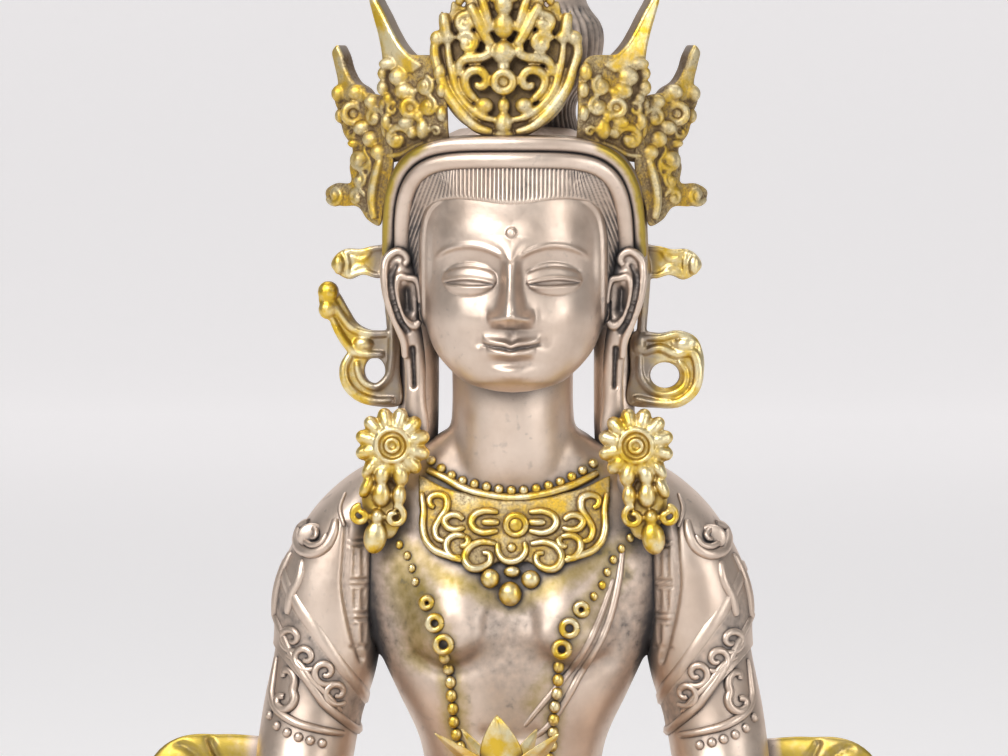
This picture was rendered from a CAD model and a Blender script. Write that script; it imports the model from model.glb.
import math

import bpy
import numpy as np
from mathutils import Matrix, Vector
from mathutils.bvhtree import BVHTree


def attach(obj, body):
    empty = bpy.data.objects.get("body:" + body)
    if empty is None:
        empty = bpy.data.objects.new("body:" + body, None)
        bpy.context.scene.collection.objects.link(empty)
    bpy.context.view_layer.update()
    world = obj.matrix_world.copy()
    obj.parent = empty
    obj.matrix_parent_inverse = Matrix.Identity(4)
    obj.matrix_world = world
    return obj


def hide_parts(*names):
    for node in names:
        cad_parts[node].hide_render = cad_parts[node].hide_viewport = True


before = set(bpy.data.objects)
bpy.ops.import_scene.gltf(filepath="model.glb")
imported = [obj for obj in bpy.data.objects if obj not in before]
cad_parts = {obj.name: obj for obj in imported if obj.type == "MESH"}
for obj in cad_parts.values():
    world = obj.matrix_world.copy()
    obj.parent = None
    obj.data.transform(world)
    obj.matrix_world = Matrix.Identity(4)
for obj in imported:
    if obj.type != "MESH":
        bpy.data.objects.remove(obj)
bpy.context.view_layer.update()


# LOTUS THRONE. The base is cast hollow and silvered like the figure. Its wall carries two rows of
# lotus petals, one hanging and one rising, on either side of a drawn-in waist.
PETALS = 16
BEADS = 96
THRONE_FLATTEN = 44 / 66  # depth of the throne over its width
SEATED_BACK = 6  # mm that the figure's own frame lies behind the throne's centre


def through(rows, key):
    """The columns of a table at each key, on a smooth curve through its rows."""
    rows = np.array(rows, float)
    keys, values = rows[:, 0], rows[:, 1:]
    slope = np.gradient(values, keys, axis=0)
    key = np.clip(key, keys[0], keys[-1])
    i = np.clip(np.searchsorted(keys, key) - 1, 0, len(keys) - 2)
    step = (keys[i + 1] - keys[i])[..., None]
    u = (key - keys[i])[..., None] / step
    low, high = values[i], values[i + 1]
    rise = (2 * u**3 - 3 * u**2 + 1) * low + (3 * u**2 - 2 * u**3) * high
    bend = (u**3 - 2 * u**2 + u) * step * slope[i] + (u**3 - u**2) * step * slope[i + 1]
    return np.moveaxis(rise + bend, -1, 0)


def along_way(rows):
    """How far along a line each of its points lies."""
    step = np.linalg.norm(np.diff(rows, axis=0), axis=1)
    return np.concatenate([[0], np.cumsum(step)])


def ramp(low, high, value):
    """0 below low, 1 above high, and a soft step between them; low may be the larger one."""
    u = np.clip((value - low) / (high - low), 0, 1)
    return u * u * (3 - 2 * u)


def points_of(piece):
    """The places of a piece's points, one row each."""
    flat = np.empty(len(piece.data.vertices) * 3)
    piece.data.vertices.foreach_get("co", flat)
    return flat.reshape(-1, 3)


def move_to(piece, points):
    """Sets the places of all of a piece's points."""
    piece.data.vertices.foreach_set("co", np.ascontiguousarray(points, float).ravel())
    piece.data.update()


def normals_of(piece):
    flat = np.empty(len(piece.data.vertices) * 3)
    piece.data.vertex_normals.foreach_get("vector", flat)
    return flat.reshape(-1, 3)


def painted(piece, layer, amount):
    """Writes an amount for each point of a piece, for cast_metal to read."""
    made = piece.data.attributes.new(layer, "FLOAT", "POINT")
    made.data.foreach_set("value", np.full(len(piece.data.vertices), 1.0) * amount)
    return piece


def sheet_of(across, along):
    """A flat grid of cells, and the places of its points, from -1 to 1 both ways."""
    bpy.ops.object.select_all(action="DESELECT")
    bpy.ops.mesh.primitive_grid_add(x_subdivisions=across, y_subdivisions=along, size=2)
    piece = bpy.context.active_object
    return piece, points_of(piece)


def ball_form(name, around, along, shape):
    """A sheet rolled up and closed at both ends into a rounded form. shape gets each point's turn
    about the form's axis and its share of the way along it, and gives x, y and z in millimetres."""
    piece, sheet = sheet_of(around, along)
    piece.name = piece.data.name = name
    turn, share = (sheet[:, 0] + 1) * math.pi, (sheet[:, 1] + 1) / 2
    move_to(piece, np.stack(shape(turn, share), axis=1))
    bpy.ops.object.mode_set(mode="EDIT")
    bpy.ops.mesh.select_all(action="SELECT")
    bpy.ops.mesh.remove_doubles(threshold=0.0005)
    bpy.ops.mesh.normals_make_consistent(inside=False)
    bpy.ops.object.mode_set(mode="OBJECT")
    return piece


def closing(share, rounding):
    """Width of a rolled form at a share of its way: 0 at both ends, 1 beyond the rounding."""
    from_end = np.clip(np.minimum(share, 1 - share) / rounding, 0, 1)
    return np.sqrt(np.clip(1 - (1 - from_end) ** 2, 0, 1))


def section(turn, power):
    """Reach of a level section at a turn: 1 all round for power 2, fuller at the corners above."""
    return (np.abs(np.cos(turn)) ** power + np.abs(np.sin(turn)) ** power) ** (-1 / power)


def joined(name, pieces):
    """Makes one named piece of several."""
    bpy.ops.object.select_all(action="DESELECT")
    for piece in pieces:
        piece.select_set(True)
    bpy.context.view_layer.objects.active = pieces[0]
    if len(pieces) > 1:
        bpy.ops.object.join()
    whole = bpy.context.active_object
    whole.name = whole.data.name = name
    return whole


def modified(piece, kind, **settings):
    """Adds a modifier to a piece and applies it."""
    bpy.ops.object.select_all(action="DESELECT")
    piece.select_set(True)
    bpy.context.view_layer.objects.active = piece
    bpy.ops.object.modifier_add(type=kind)
    added = piece.modifiers[-1]
    for setting, value in settings.items():
        setattr(added, setting, value)
    bpy.ops.object.modifier_apply(modifier=added.name)
    return piece


def in_place(piece, node, smooth_angle=None, body_frame=True):
    """Brings a piece modelled in millimetres into the shared frame, in metres, shaded smooth."""
    shift = SEATED_BACK if body_frame else 0
    piece.data.transform(Matrix.Scale(0.001, 4) @ Matrix.Translation((0, shift, 0)))
    bpy.ops.object.select_all(action="DESELECT")
    piece.select_set(True)
    bpy.context.view_layer.objects.active = piece
    if smooth_angle is None:
        bpy.ops.object.shade_smooth()
    else:
        bpy.ops.object.shade_smooth_by_angle(angle=math.radians(smooth_angle))
    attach(piece, "root")
    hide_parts(node)
    return piece


class Wire:
    """A socket that maths can be written with."""

    def __init__(self, tree, socket):
        self.tree, self.socket = tree, socket

    def node(self, kind, *values, out=0, **settings):
        made = self.tree.nodes.new(kind)
        for setting, value in settings.items():
            if setting == "stops":
                ramp_of = made.color_ramp
                while len(ramp_of.elements) < len(value):
                    ramp_of.elements.new(0.5)
                for stop, (place, shade) in zip(ramp_of.elements, value):
                    stop.position, stop.color = place, (shade, shade, shade, 1)
            else:
                setattr(made, setting, value)
        for slot, value in enumerate(values):
            if isinstance(value, Wire):
                self.tree.links.new(value.socket, made.inputs[slot])
            elif isinstance(value, dict):
                for key, inner in value.items():
                    if isinstance(inner, Wire):
                        self.tree.links.new(inner.socket, made.inputs[key])
                    else:
                        made.inputs[key].default_value = inner
            elif value is not None:
                made.inputs[slot].default_value = value
        return Wire(self.tree, made.outputs[out])

    def maths(self, operation, *values):
        return self.node("ShaderNodeMath", *values, operation=operation)

    def __add__(self, other):
        return self.maths("ADD", self, other)

    def __sub__(self, other):
        return self.maths("SUBTRACT", self, other)

    def __mul__(self, other):
        return self.maths("MULTIPLY", self, other)

    def __rsub__(self, other):
        return self.maths("SUBTRACT", other, self)

    __radd__ = __add__
    __rmul__ = __mul__

    def clamp(self):
        return self.node("ShaderNodeClamp", self)

    def between(self, low, high):
        return self.node("ShaderNodeMapRange", self, low, high, 0.0, 1.0, clamp=True)

    def mixed(self, share, other):
        """This colour with a share of another one."""
        return self.node("ShaderNodeMix", {0: share, 6: self, 7: other}, data_type="RGBA", out=2)

    def attribute(self, layer):
        """The amount that a piece carries for this layer at each place."""
        return self.node("ShaderNodeAttribute", attribute_name=layer, out=2)


BRUSHED_GILT = (0.5, 0.36, 0.07, 1)
BARE_COPPER = (0.4, 0.335, 0.28, 1)


def cast_metal(name, bright, dull, dark, roughness, wear_scale, hollow_reach):
    """A worn cast metal: bright where it is rubbed, dull in the flats, dark with grime in the
    hollows. The piece's own attributes say where the ground is stained, where gilding was brushed
    over silver, and where a gilt piece was left bare."""
    material = bpy.data.materials.new(name)
    material.use_nodes = True
    tree = material.node_tree
    shader = tree.nodes["Principled BSDF"]
    start = Wire(tree, None)
    place = start.node("ShaderNodeTexCoord", out=3)
    # wear: clouds some millimetres across, and a fine grain in them
    coarse = {"Vector": place, "Scale": wear_scale, "Detail": 5.0, "Roughness": 0.6}
    fine = {"Vector": place, "Scale": wear_scale * 9, "Detail": 4.0}
    cloud, grain = start.node("ShaderNodeTexNoise", coarse), start.node("ShaderNodeTexNoise", fine)
    # grime lies in hollows, on stained ground and in specks
    open_air = start.node(
        "ShaderNodeAmbientOcclusion",
        {"Distance": hollow_reach},
        out=1,
        samples=8,
    )
    hollow = (1 - open_air.between(0.4, 0.97)).clamp()
    ground = start.attribute("ground")
    stained = ground * (0.4 + (cloud - 0.5) * 1.4 + (grain - 0.5) * 1.2)
    specks = grain.between(0.6, 0.74) * cloud.between(0.45, 0.65) * 0.4
    grime = (hollow + (cloud - 0.5) * 0.5 * hollow + stained + specks).clamp()
    wash = (cloud.between(0.38, 0.6) - hollow * 1.6).clamp()
    flat = start.node("ShaderNodeMix", {0: wash, 6: dull, 7: bright}, data_type="RGBA", out=2)
    brushed = start.attribute("gilding")
    patchy = (brushed * 1.3 + (cloud - 0.5) * 1.2 + (grain - 0.5) * 0.9 - 0.25).clamp()
    patchy = patchy * (brushed * 3).clamp()
    bare = start.attribute("bare")
    bared = (bare * 1.2 + (cloud - 0.5) * bare).clamp()
    tone = flat.mixed(patchy, BRUSHED_GILT).mixed(bared, BARE_COPPER).mixed(grime, dark)
    shine = grain.between(0.3, 0.75) * 0.1 + roughness + hollow * 0.22 + ground * 0.22
    tree.links.new(tone.socket, shader.inputs["Base Color"])
    tree.links.new(shine.socket, shader.inputs["Roughness"])
    bump = start.node("ShaderNodeBump", {"Strength": 0.18, "Distance": 0.0002, "Height": grain})
    tree.links.new(bump.socket, shader.inputs["Normal"])
    shader.inputs["Metallic"].default_value = 1.0
    return material


white_metal = cast_metal(
    "white metal",
    bright=(0.82, 0.675, 0.565, 1),
    dull=(0.7, 0.555, 0.45, 1),
    dark=(0.15, 0.14, 0.14, 1),
    roughness=0.37,
    wear_scale=70.0,
    hollow_reach=0.004,
)

# [height, radius of the wall], in millimetres
THRONE_PROFILE = [
    [0, 63.2],
    [2.6, 63.4],
    [3.6, 59.6],
    [6.4, 58.8],
    [10.6, 56.4],
    [14.6, 51.2],
    [16, 50.4],
    [17.8, 51.2],
    [21.6, 56],
    [26.4, 59],
    [28.8, 59],
    [30, 58],
    [31.2, 57.6],
    [32, 56.8],
]


def petal_relief(across, rise):
    """Height of a petal over the wall: a rounded outer leaf with a smaller leaf raised on it.
    across runs from -1 to 1 over a petal, rise from 0 at its root to 1 at its tip."""
    width = np.sqrt(np.clip(1 - np.clip((rise - 0.42) / 0.58, 0, 1) ** 2.6, 0, 1)) * 0.98
    inside = ramp(0, 0.1, width - np.abs(across))
    outer = inside * (2.4 + 2.2 * (1 - across**2)) * ramp(-0.05, 0.35, rise)
    inner_width = 0.62 * np.sqrt(np.clip(1 - (np.clip((rise - 0.35) / 0.42, -0.6, 1)) ** 2, 0, 1))
    inner = ramp(0, 0.1, inner_width - np.abs(across)) * (0.5 + 0.5 * (1 - across**2))
    rim = 0.45 * np.exp(-(((width - np.abs(across)) - 0.1) / 0.07) ** 2) * inside
    return outer + inner + rim


UNDERSIDE, SEAT = 0.06, 0.08  # shares of the sheet's rows that close the throne below and above
WAIST = 16.2
BEAD_HEIGHT, BEAD_RADIUS = 31, 0.9


def throne_shape(turn, share):
    wall = np.clip((share - UNDERSIDE) / (1 - UNDERSIDE - SEAT), 0, 1)
    z = wall * THRONE_PROFILE[-1][0]
    radius = through(THRONE_PROFILE, z)[0]
    across = ((turn * PETALS / (2 * math.pi)) % 1) * 2 - 1
    hanging = petal_relief(across, 1 - (z - 3.4) / 12.2) * (z > 3.3) * (z < 15.8)
    rising = petal_relief(across, (z - 16.6) / 12.8) * (z > 16.4) * (z < 29.6)
    reach = radius + np.where(z < WAIST, hanging, rising)
    bead = BEAD_RADIUS * np.sqrt(np.clip(1 - ((z - BEAD_HEIGHT) / BEAD_RADIUS) ** 2, 0, 1))
    reach = reach + bead * np.abs(np.cos(turn * BEADS / 2)) ** 0.6
    top = np.where(share > 1 - SEAT, (1 - share) / SEAT, 1)
    cap = np.where(share < UNDERSIDE, share / UNDERSIDE, top)
    reach = reach * cap
    return reach * np.cos(turn), reach * np.sin(turn) * THRONE_FLATTEN, z


throne = ball_form("petalled_throne", 320, 112, throne_shape)
in_place(throne, "lotus_throne", body_frame=False)
throne.data.materials.append(white_metal)


# FIGURE. One hollow casting of a silvered copper alloy. The lower half: legs crossed with both
# soles up, and a thin skirt drawn into ridges over the shins, its hem in a pleated fan on the seat.
def limb(name, stations, around, along, across, rounding=0.06, power=2.0):
    """A limb through stations [x, y, z, radius along across, radius square to it]."""
    rows = np.array(stations, float)
    way = along_way(rows[:, :3])
    table = np.column_stack([way / way[-1], rows])

    def shape(turn, share):
        middle = through(table, share)
        ahead = through(table, share + 0.01)[:3] - through(table, share - 0.01)[:3]
        ahead /= np.linalg.norm(ahead, axis=0)
        first = np.array(across, float)[:, None] - ahead * (np.array(across) @ ahead)
        first /= np.linalg.norm(first, axis=0)
        second = np.cross(ahead, first, axis=0)
        out = closing(share, rounding) * section(turn, power)
        c, s = np.cos(turn), np.sin(turn)
        return middle[:3] + out * (first * middle[3] * c + second * middle[4] * s)

    return ball_form(name, around, along, shape)


def ellipsoid(name, centre, radii, around=32, along=24):
    """A rounded form with three radii."""

    def shape(turn, share):
        out = np.sin(share * math.pi)
        return (
            centre[0] + radii[0] * out * np.cos(turn),
            centre[1] + radii[1] * out * np.sin(turn),
            centre[2] - radii[2] * np.cos(share * math.pi),
        )

    return ball_form(name, around, along, shape)


def both_sides(name, stations, *rest, **more):
    """A limb and the same one on the other side."""
    mirrored = [[-station[0], *station[1:]] for station in stations]
    return [limb(name, side, *rest, **more) for side in (stations, mirrored)]


UP, ASIDE, FORWARD = (0, 0, 1), (1, 0, 0), (0, 1, 0)
THIGH = [
    [10, 19, 42.5, 9, 10], [32, 6, 44, 11, 12.5], [48, -8, 43, 10.2, 11.5],
    [57, -16, 41.5, 5.5, 5.5],
]
UPPER_SHIN = [
    [-57, -18, 42, 6, 6],
    [-47, -22, 42.5, 9.4, 8.6],
    [-24, -30, 43, 8.8, 8],
    [2, -33, 44, 7.6, 7],
    [20, -28, 46.5, 5.6, 5.6],
]
LOWER_SHIN = [
    [57, -18, 41, 6, 6],
    [47, -21, 41, 9.4, 8.6],
    [24, -28, 40.5, 8.4, 8],
    [0, -29, 40.5, 7.4, 7],
    [-20, -25, 45.5, 5.4, 5.6],
]
FOOT = [
    [29, -22, 50.5, 2.4, 3.4], [24, -19, 51.4, 3.2, 5], [14, -15, 50.6, 3.2, 4.6],
    [7, -12, 48.5, 3.2, 4],
]


def pleated_fan():
    """The skirt's hem before the shins. Its rows give the share of the way up,
    z, half its width and the y of its front."""
    rows = [
        [0, 46, 5, -36.2], [0.35, 40, 10, -38.4], [0.7, 35.4, 15, -40.4], [1, 32.6, 17.4, -41.6],
    ]

    def shape(turn, share):
        z, half_width, front = through(rows, share)
        across = np.clip(np.cos(turn) * 1.04, -1, 1)
        pleat = np.abs(np.sin(across * math.pi * 2.5)) ** 0.7
        face = np.where(np.sin(turn) < 0, front + 1.7 * pleat + across**2 * half_width * 0.2, -30.0)
        close = ramp(0, 0.04, np.minimum(share, 1 - share))
        return across * half_width * close, -30 + (face + 30) * close, z

    return ball_form("fan", 160, 60, shape)


def skirt_folds():
    """Ridges of the skirt that run over each shin and down its front."""
    folds = []
    for side in (-1, 1):
        for x in (22, 30, 38, 46):
            stations = [
                [side * (x - 3), -20 + (x - 30) * 0.1, 51.8 - (x - 30) * 0.05, 0.8, 1.2],
                [side * x, -30.2 + x * 0.16, 50.6 - (x - 30) * 0.04, 0.9, 1.3],
                [side * (x + 3), -37.6 + x * 0.19, 43, 0.9, 1.3],
                [side * (x + 4), -36.6 + x * 0.19, 36, 0.7, 1],
            ]
            folds.append(limb("fold", stations, 12, 36, ASIDE))
    return folds


SEAT_TOP = 32.35  # height at which the figure rests on the throne


def set_on_seat(piece):
    """Flattens what would reach down into the throne, and gives back the places of the points."""
    points = points_of(piece)
    points[:, 2] = np.maximum(points[:, 2], SEAT_TOP)
    move_to(piece, points)
    return points


legs = joined(
    "figure_legs",
    both_sides("thigh", THIGH, 40, 40, UP)
    + [limb("shin", UPPER_SHIN, 40, 60, UP), limb("shin", LOWER_SHIN, 40, 60, UP)]
    + both_sides("foot", FOOT, 24, 24, UP)
    + [ellipsoid("lap", (0, -8, 40), (30, 20, 9.6)), pleated_fan()]
    + skirt_folds(),
)
modified(legs, "REMESH", mode="VOXEL", voxel_size=0.88)
modified(legs, "SMOOTH", factor=0.6, iterations=5)
set_on_seat(legs)
in_place(legs, "figure")
legs.data.materials.append(white_metal)


# FIGURE, upper half: a slim bare torso, long arms, and hands laid one on the other in the lap.
def stacked(name, stations, around, along, power=2.0, rounding=0.03, ripple=None):
    """A form of level sections [z, half width, half depth, y of the centre]."""
    rows = np.array(stations, float)
    low, high = rows[0, 0], rows[-1, 0]

    def shape(turn, share):
        z = low + (high - low) * share
        half_width, half_depth, middle = through(rows, z)
        close = closing(share, rounding)
        out = close * section(turn, power) + (ripple(turn, z) if ripple else 0) * close
        return half_width * out * np.cos(turn), middle + half_depth * out * np.sin(turn), z

    return ball_form(name, around, along, shape)


TORSO = [
    [33, 24, 14, 14],
    [46, 22.5, 14.5, 14],
    [58, 18, 12, 13.5],
    [67, 15.2, 11, 13],
    [76, 16, 11.5, 12.5],
    [85, 20, 12.6, 12],
    [93, 23.6, 13, 12],
    [103, 27, 12.8, 12.5],
    [112, 29, 11.6, 13.5],
    [118.5, 29.6, 10.2, 14],
    [124, 23, 9, 14],
    [128, 14.5, 9, 13.5],
    [132, 11, 9.5, 13],
]
NECK = [
    [0, 14.5, 117, 12, 8],
    [0, 13.4, 122, 12.4, 9.6],
    [0, 12.4, 126.5, 11.4, 10.8],
    [0, 11.6, 131, 10.7, 10.9],
    [0, 11, 144, 10.5, 10.6],
]
ARM = [
    [25, 13, 117, 7, 4.8],
    [29.4, 13, 111.6, 9, 6.2],
    [31.6, 12.5, 103, 9.2, 8.2],
    [32.8, 12, 91, 8.8, 8.5],
    [35, 11, 80, 8.6, 8.5],
    [36.2, 7, 68, 8.6, 8.2],
    [34, -1, 63, 7.8, 7.6],
    [25, -12.5, 59.5, 6, 5.8],
    [15, -19.5, 57, 4.2, 4],
]
HAND = [
    [17, -18, 57.4, 4, 4], [10, -20.8, 56.2, 3, 5], [2, -22.3, 55.2, 2.2, 5.2],
    [-4, -22.4, 54.9, 1.8, 5],
]


def fingers(side, lift):
    """Four fingers and the thumb of one hand; lift lays one hand on the other."""
    reach = []
    for i in range(4):
        y = -25.8 + i * 2.3
        tip = -9.5 - 1.2 * math.sin(math.pi * (i + 0.6) / 4)
        stations = [
            [side * 1, y + 0.3, 55.6 + lift, 1.1, 1.15],
            [side * -5, y + 0.2, 55.8 + lift, 1.1, 1.1],
            [side * tip, y, 55 + lift, 0.9, 0.9],
        ]
        reach.append(limb("finger", stations, 14, 20, UP, rounding=0.12))
    thumb = [
        [side * 9, -17, 57 + lift, 1.4, 1.4],
        [side * 4, -15.2, 57.8 + lift, 1.2, 1.2],
        [side * 0.4, -15, 58, 0.9, 0.9],
    ]
    return reach + [limb("thumb", thumb, 14, 20, UP, rounding=0.12)]


torso = stacked("torso", TORSO, 96, 110, 2.3)
belly = ellipsoid("belly", (0, 6.2, 76), (11, 6, 11), 40, 28)
neck = limb("neck", NECK, 56, 40, ASIDE, rounding=0.02)
body = joined(
    "figure_body",
    [torso, belly, neck]
    + both_sides("arm", ARM, 44, 120, FORWARD)
    + both_sides("hand", HAND, 28, 24, UP)
    + fingers(1, 0.5)
    + fingers(-1, -0.6),
)
modified(body, "REMESH", mode="VOXEL", voxel_size=0.7)
modified(body, "SMOOTH", factor=0.6, iterations=6)


def near_line(points, line, reach):
    """How near each point is to a line of points: 1 on it, falling to 0 at reach."""
    nearest = np.full(len(points), np.inf)
    for spot in line:
        nearest = np.minimum(nearest, ((points - spot) ** 2).sum(axis=1))
    return np.exp(-nearest / reach**2)


def smooth_line(points, gap=0.35):
    """Points set gap apart along a smooth curve through a few places."""
    rows = np.array(points, float)
    way = along_way(rows)
    keys = np.linspace(0, way[-1], max(2, int(way[-1] / gap) + 1))
    return through(np.column_stack([way, rows]), keys).T


def surface_of(*pieces):
    """A finder of the front of a few pieces: it gives the place and the normal met at x, z."""
    points, faces, start = [], [], 0
    for piece in pieces:
        points += [tuple(p) for p in points_of(piece)]
        faces += [[start + v for v in face.vertices] for face in piece.data.polygons]
        start = len(points)
    tree = BVHTree.FromPolygons(points, faces)

    def find(x, z):
        hit, normal, _, _ = tree.ray_cast(Vector((x, -90, z)), Vector((0, 1, 0)))
        if hit is None:
            hit, normal, _, _ = tree.find_nearest(Vector((x, -20, z)))
        return np.array(hit), np.array(normal)

    return find


def carve(piece, line, reach, depth):
    """Moves the skin in along a line, or out where depth is below zero."""
    points = points_of(piece)
    move_to(piece, points - normals_of(piece) * (near_line(points, line, reach) * depth)[:, None])


def on_front(find, flat, side=1, gap=0.35):
    """Places on a surface along a line seen from the front; side -1 puts it on the other side."""
    return np.array([find(side * x, z)[0] for x, z in smooth_line(flat, gap)])


def swell(piece, middle, reach, height):
    """Raises a soft breast on the skin: full below, running out above."""
    points = points_of(piece)
    u = (points[:, 0] - middle[0]) / reach[0]
    v = (points[:, 2] - middle[1]) / np.where(points[:, 2] < middle[1], reach[1], reach[2])
    far = np.hypot(u, v)
    dome = ramp(1.1, 0.35 * ramp(0.3, -0.3, v), far) * ramp(14, 6, points[:, 1])
    points[:, 1] -= dome * ramp(70, 80, points[:, 2]) * height
    move_to(piece, points)


for side in (-1, 1):
    swell(body, (side * 9.6, 97.6), (9.4, 8, 15), 3.1)
skin = surface_of(body)
BREAST_CREASE = [(16.4, 91.2), (12, 89.2), (7.8, 90.2), (4.4, 93.4), (3, 99.5)]
BELLY_CREASE = [(-4, 78.4), (0, 77.8), (4, 78.4)]
for side in (-1, 1):
    carve(body, on_front(skin, BREAST_CREASE, side, 0.6), 1.6, 0.75)
carve(body, on_front(skin, BELLY_CREASE, 1, 0.6), 1.2, 0.5)
in_place(body, "figure")
body.data.materials.append(white_metal)


# FIGURE, the head: a smooth oval face, cast in one with the body. The features are chased after
# casting: thin raised brows, half-closed lids, a small mouth and a dot on the brow.
HEAD_ASIDE = 0.5  # mm that the head sits to the figure's left
BROW_LEVEL = 153  # the arches of hair and bands spring from this height
HEAD_POWER = 2.15  # level sections of the head are a little fuller than ellipses, which have 2
# level sections [z, half width, half depth, y of the middle]
HEAD = [
    [137.2, 5.6, 4.2, -1.4],
    [139.4, 8.9, 7.6, 0.2],
    [143, 12.6, 11.4, 2.6],
    [148, 15.1, 14.6, 5.4],
    [154, 16.7, 16.8, 7.4],
    [160, 17.3, 17.8, 8.2],
    [166, 17.3, 17.8, 8.4],
    [172, 16.4, 17, 8.4],
    [177.5, 12.8, 13.4, 9],
]


def mound(across, up, spread_across, spread_up):
    """A soft rise, 1 at its middle; across and up are measured from there."""
    return np.exp(-((across / spread_across) ** 2) - (up / spread_up) ** 2)


def hair_edge(x, z):
    """How far a place lies outside the hairline, in millimetres: an arch that dips in the middle."""
    dip = 1.2 * np.exp(-((x / 6.5) ** 2)) * ramp(160, 168, z)
    rise = np.clip(z + dip - BROW_LEVEL, 0, None) / 17.4
    return ((np.abs(x / 15) ** 6 + rise**6) ** (1 / 6) - 1) * 15


# the ridge of the nose [z, height, half width]
NOSE = [
    [148.2, 0, 1.9],
    [149, 1.9, 2],
    [150.2, 3.8, 1.95],
    [151.6, 3.75, 1.7],
    [155, 2.6, 1.25],
    [158, 1.7, 1.2],
    [161, 0.8, 1.6],
    [164, 0, 2.4],
]


def features(x, z):
    """The relief of the face over a plain oval, in millimetres."""
    side = np.abs(x)
    relief = 0.9 * mound(side - 9.4, z - 150.4, 4.6, 4.4)
    relief -= 0.5 * mound(side - 14.4, z - 160, 2.6, 6)
    # sockets, and brows that run on into the sides of the nose
    brow = 162.3 - 0.055 * (side - 7.2) ** 2
    relief -= 1.3 * mound(side - 6.9, z - 157.9, 5.2, 3)
    ridge = 0.55 * np.exp(-(((z - brow) / 0.5) ** 2))
    relief += ridge * ramp(0.9, 2.4, side) * (1 - ramp(11.4, 13.6, side))
    over_brow = 0.35 * ramp(-0.4, 0.6, z - brow) * (1 - ramp(1.5, 7, z - brow))
    relief += over_brow * (1 - ramp(10, 14, side))
    # the nose
    height, half = through(NOSE, z)
    bridge, flanks = np.exp(-((side / half) ** 2.8)), np.exp(-((side / half / 2) ** 2))
    relief += height * bridge + 0.5 * height * flanks
    relief += 1.5 * mound(side - 2.6, z - 150.1, 0.95, 1.05)
    crease = mound(side - 4, z - 150.3, 0.5, 1.2)
    nostril = mound(side - 1.5, z - 148.9, 0.62, 0.42)
    relief -= 0.35 * crease + 0.7 * nostril
    # half-closed eyes: the ball, the slit, the rims of both lids and the fold over the upper one
    u = (side - 7.2) / 4.3
    open_part = np.clip(1 - u**2, 0, 1)
    relief += 1.55 * np.clip(1 - u**2 * 0.8 - ((z - 156.7) / 2.9) ** 2, 0, 1) ** 0.7
    upper = 155.95 + 0.62 * open_part + 0.1 * u
    lower = 155.9 - 0.3 * open_part + 0.1 * u
    within = ramp(0, 0.12, open_part)
    relief -= 0.42 * ramp(-0.06, 0.12, z - lower) * ramp(-0.06, 0.12, upper - z) * within
    relief += 0.34 * np.exp(-(((z - upper - 0.3) / 0.3) ** 2)) * ramp(1.16, 1.0, np.abs(u))
    relief += 0.22 * np.exp(-(((z - lower + 0.3) / 0.32) ** 2)) * within
    fold = 158 + 0.95 * open_part
    relief -= 0.3 * np.exp(-(((z - fold) / 0.26) ** 2)) * ramp(1.12, 0.9, np.abs(u))
    # mouth and chin
    line = 145.1 + 0.03 * side**2 - 0.22 * np.exp(-((side / 0.9) ** 2))
    lip = np.clip(1 - (side / 4.9) ** 2, 0, 1)
    relief += 0.9 * mound(side, z - 145.4, 6, 3.6)
    over_line = z - line - 0.8 + 0.25 * np.exp(-((side / 0.7) ** 2))
    relief += 0.85 * lip**0.6 * np.exp(-((over_line / 0.62) ** 2))
    lower_lip = np.clip(1 - (side / 4.1) ** 2, 0, 1)
    relief += 1.05 * lower_lip**0.7 * np.exp(-(((z - line + 0.95) / 0.8) ** 2))
    relief -= 0.6 * np.exp(-(((z - line) / 0.22) ** 2)) * ramp(5.2, 4.4, side)
    relief -= 0.45 * mound(side - 5.3, z - 146, 0.9, 0.9) + 0.28 * mound(x, z - 147.8, 0.55, 0.9)
    relief += 1.25 * mound(x, z - 140.4, 3.6, 2) - 0.65 * mound(x, z - 142.6, 3.8, 0.9)
    relief += 0.55 * ramp(1.05, 0.55, np.hypot(x, z - 164.6))
    return relief


def head_shape(turn, share):
    turn = turn - 0.55 * np.cos(turn)
    z = HEAD[0][0] + (HEAD[-1][0] - HEAD[0][0]) * share
    half_width, half_depth, middle = through(HEAD, z)
    c, s = np.cos(turn), np.sin(turn)
    out = section(turn, HEAD_POWER) * closing(share, 0.05)
    x, y = half_width * out * c, middle + half_depth * out * s
    edge = hair_edge(x, z)
    # the shaved edge of the hair stands up as a smooth rim down the temples
    rim = 0.5 * ramp(0, 0.3, edge) * ramp(1.2, 0.8, edge)
    rim = rim * ramp(11, 13.6, np.abs(x)) * ramp(0.3, 0, s)
    relief = features(x, z) * ramp(0, -1.2, edge) * ramp(0.15, -0.35, s) + rim
    return x + relief * c * 0.55, y + relief * np.where(s < 0, -np.sqrt(1 - (c * 0.55) ** 2), s), z


head = ball_form("figure_head", 300, 190, head_shape)
move_to(head, points_of(head) + (HEAD_ASIDE, 0, 0))
in_place(head, "figure")
head.data.materials.append(white_metal)


# FIGURE, the hair: a combed fringe cut over the brow, two smooth bands round it from ear to ear, a
# close cap behind them with a lock down each side of the neck, and a tall knot on the crown.
def arch_at(turn, half, top, power):
    """A place x, z on an arch with rounded corners, at a turn about the middle of BROW_LEVEL."""
    c, s = np.cos(turn), np.sin(turn)
    across, up = np.abs(c / half), np.clip(s, 0, None) / (top - BROW_LEVEL)
    reach = (across**power + up**power) ** (-1 / power)
    return reach * c, BROW_LEVEL + reach * s


def brow_depth(turn):
    """How far back the fringe and the bands lie: most at the ears, least over the brow."""
    return 6.6 - 14 * np.clip(np.sin(turn), 0, None) ** 1.6


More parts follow.
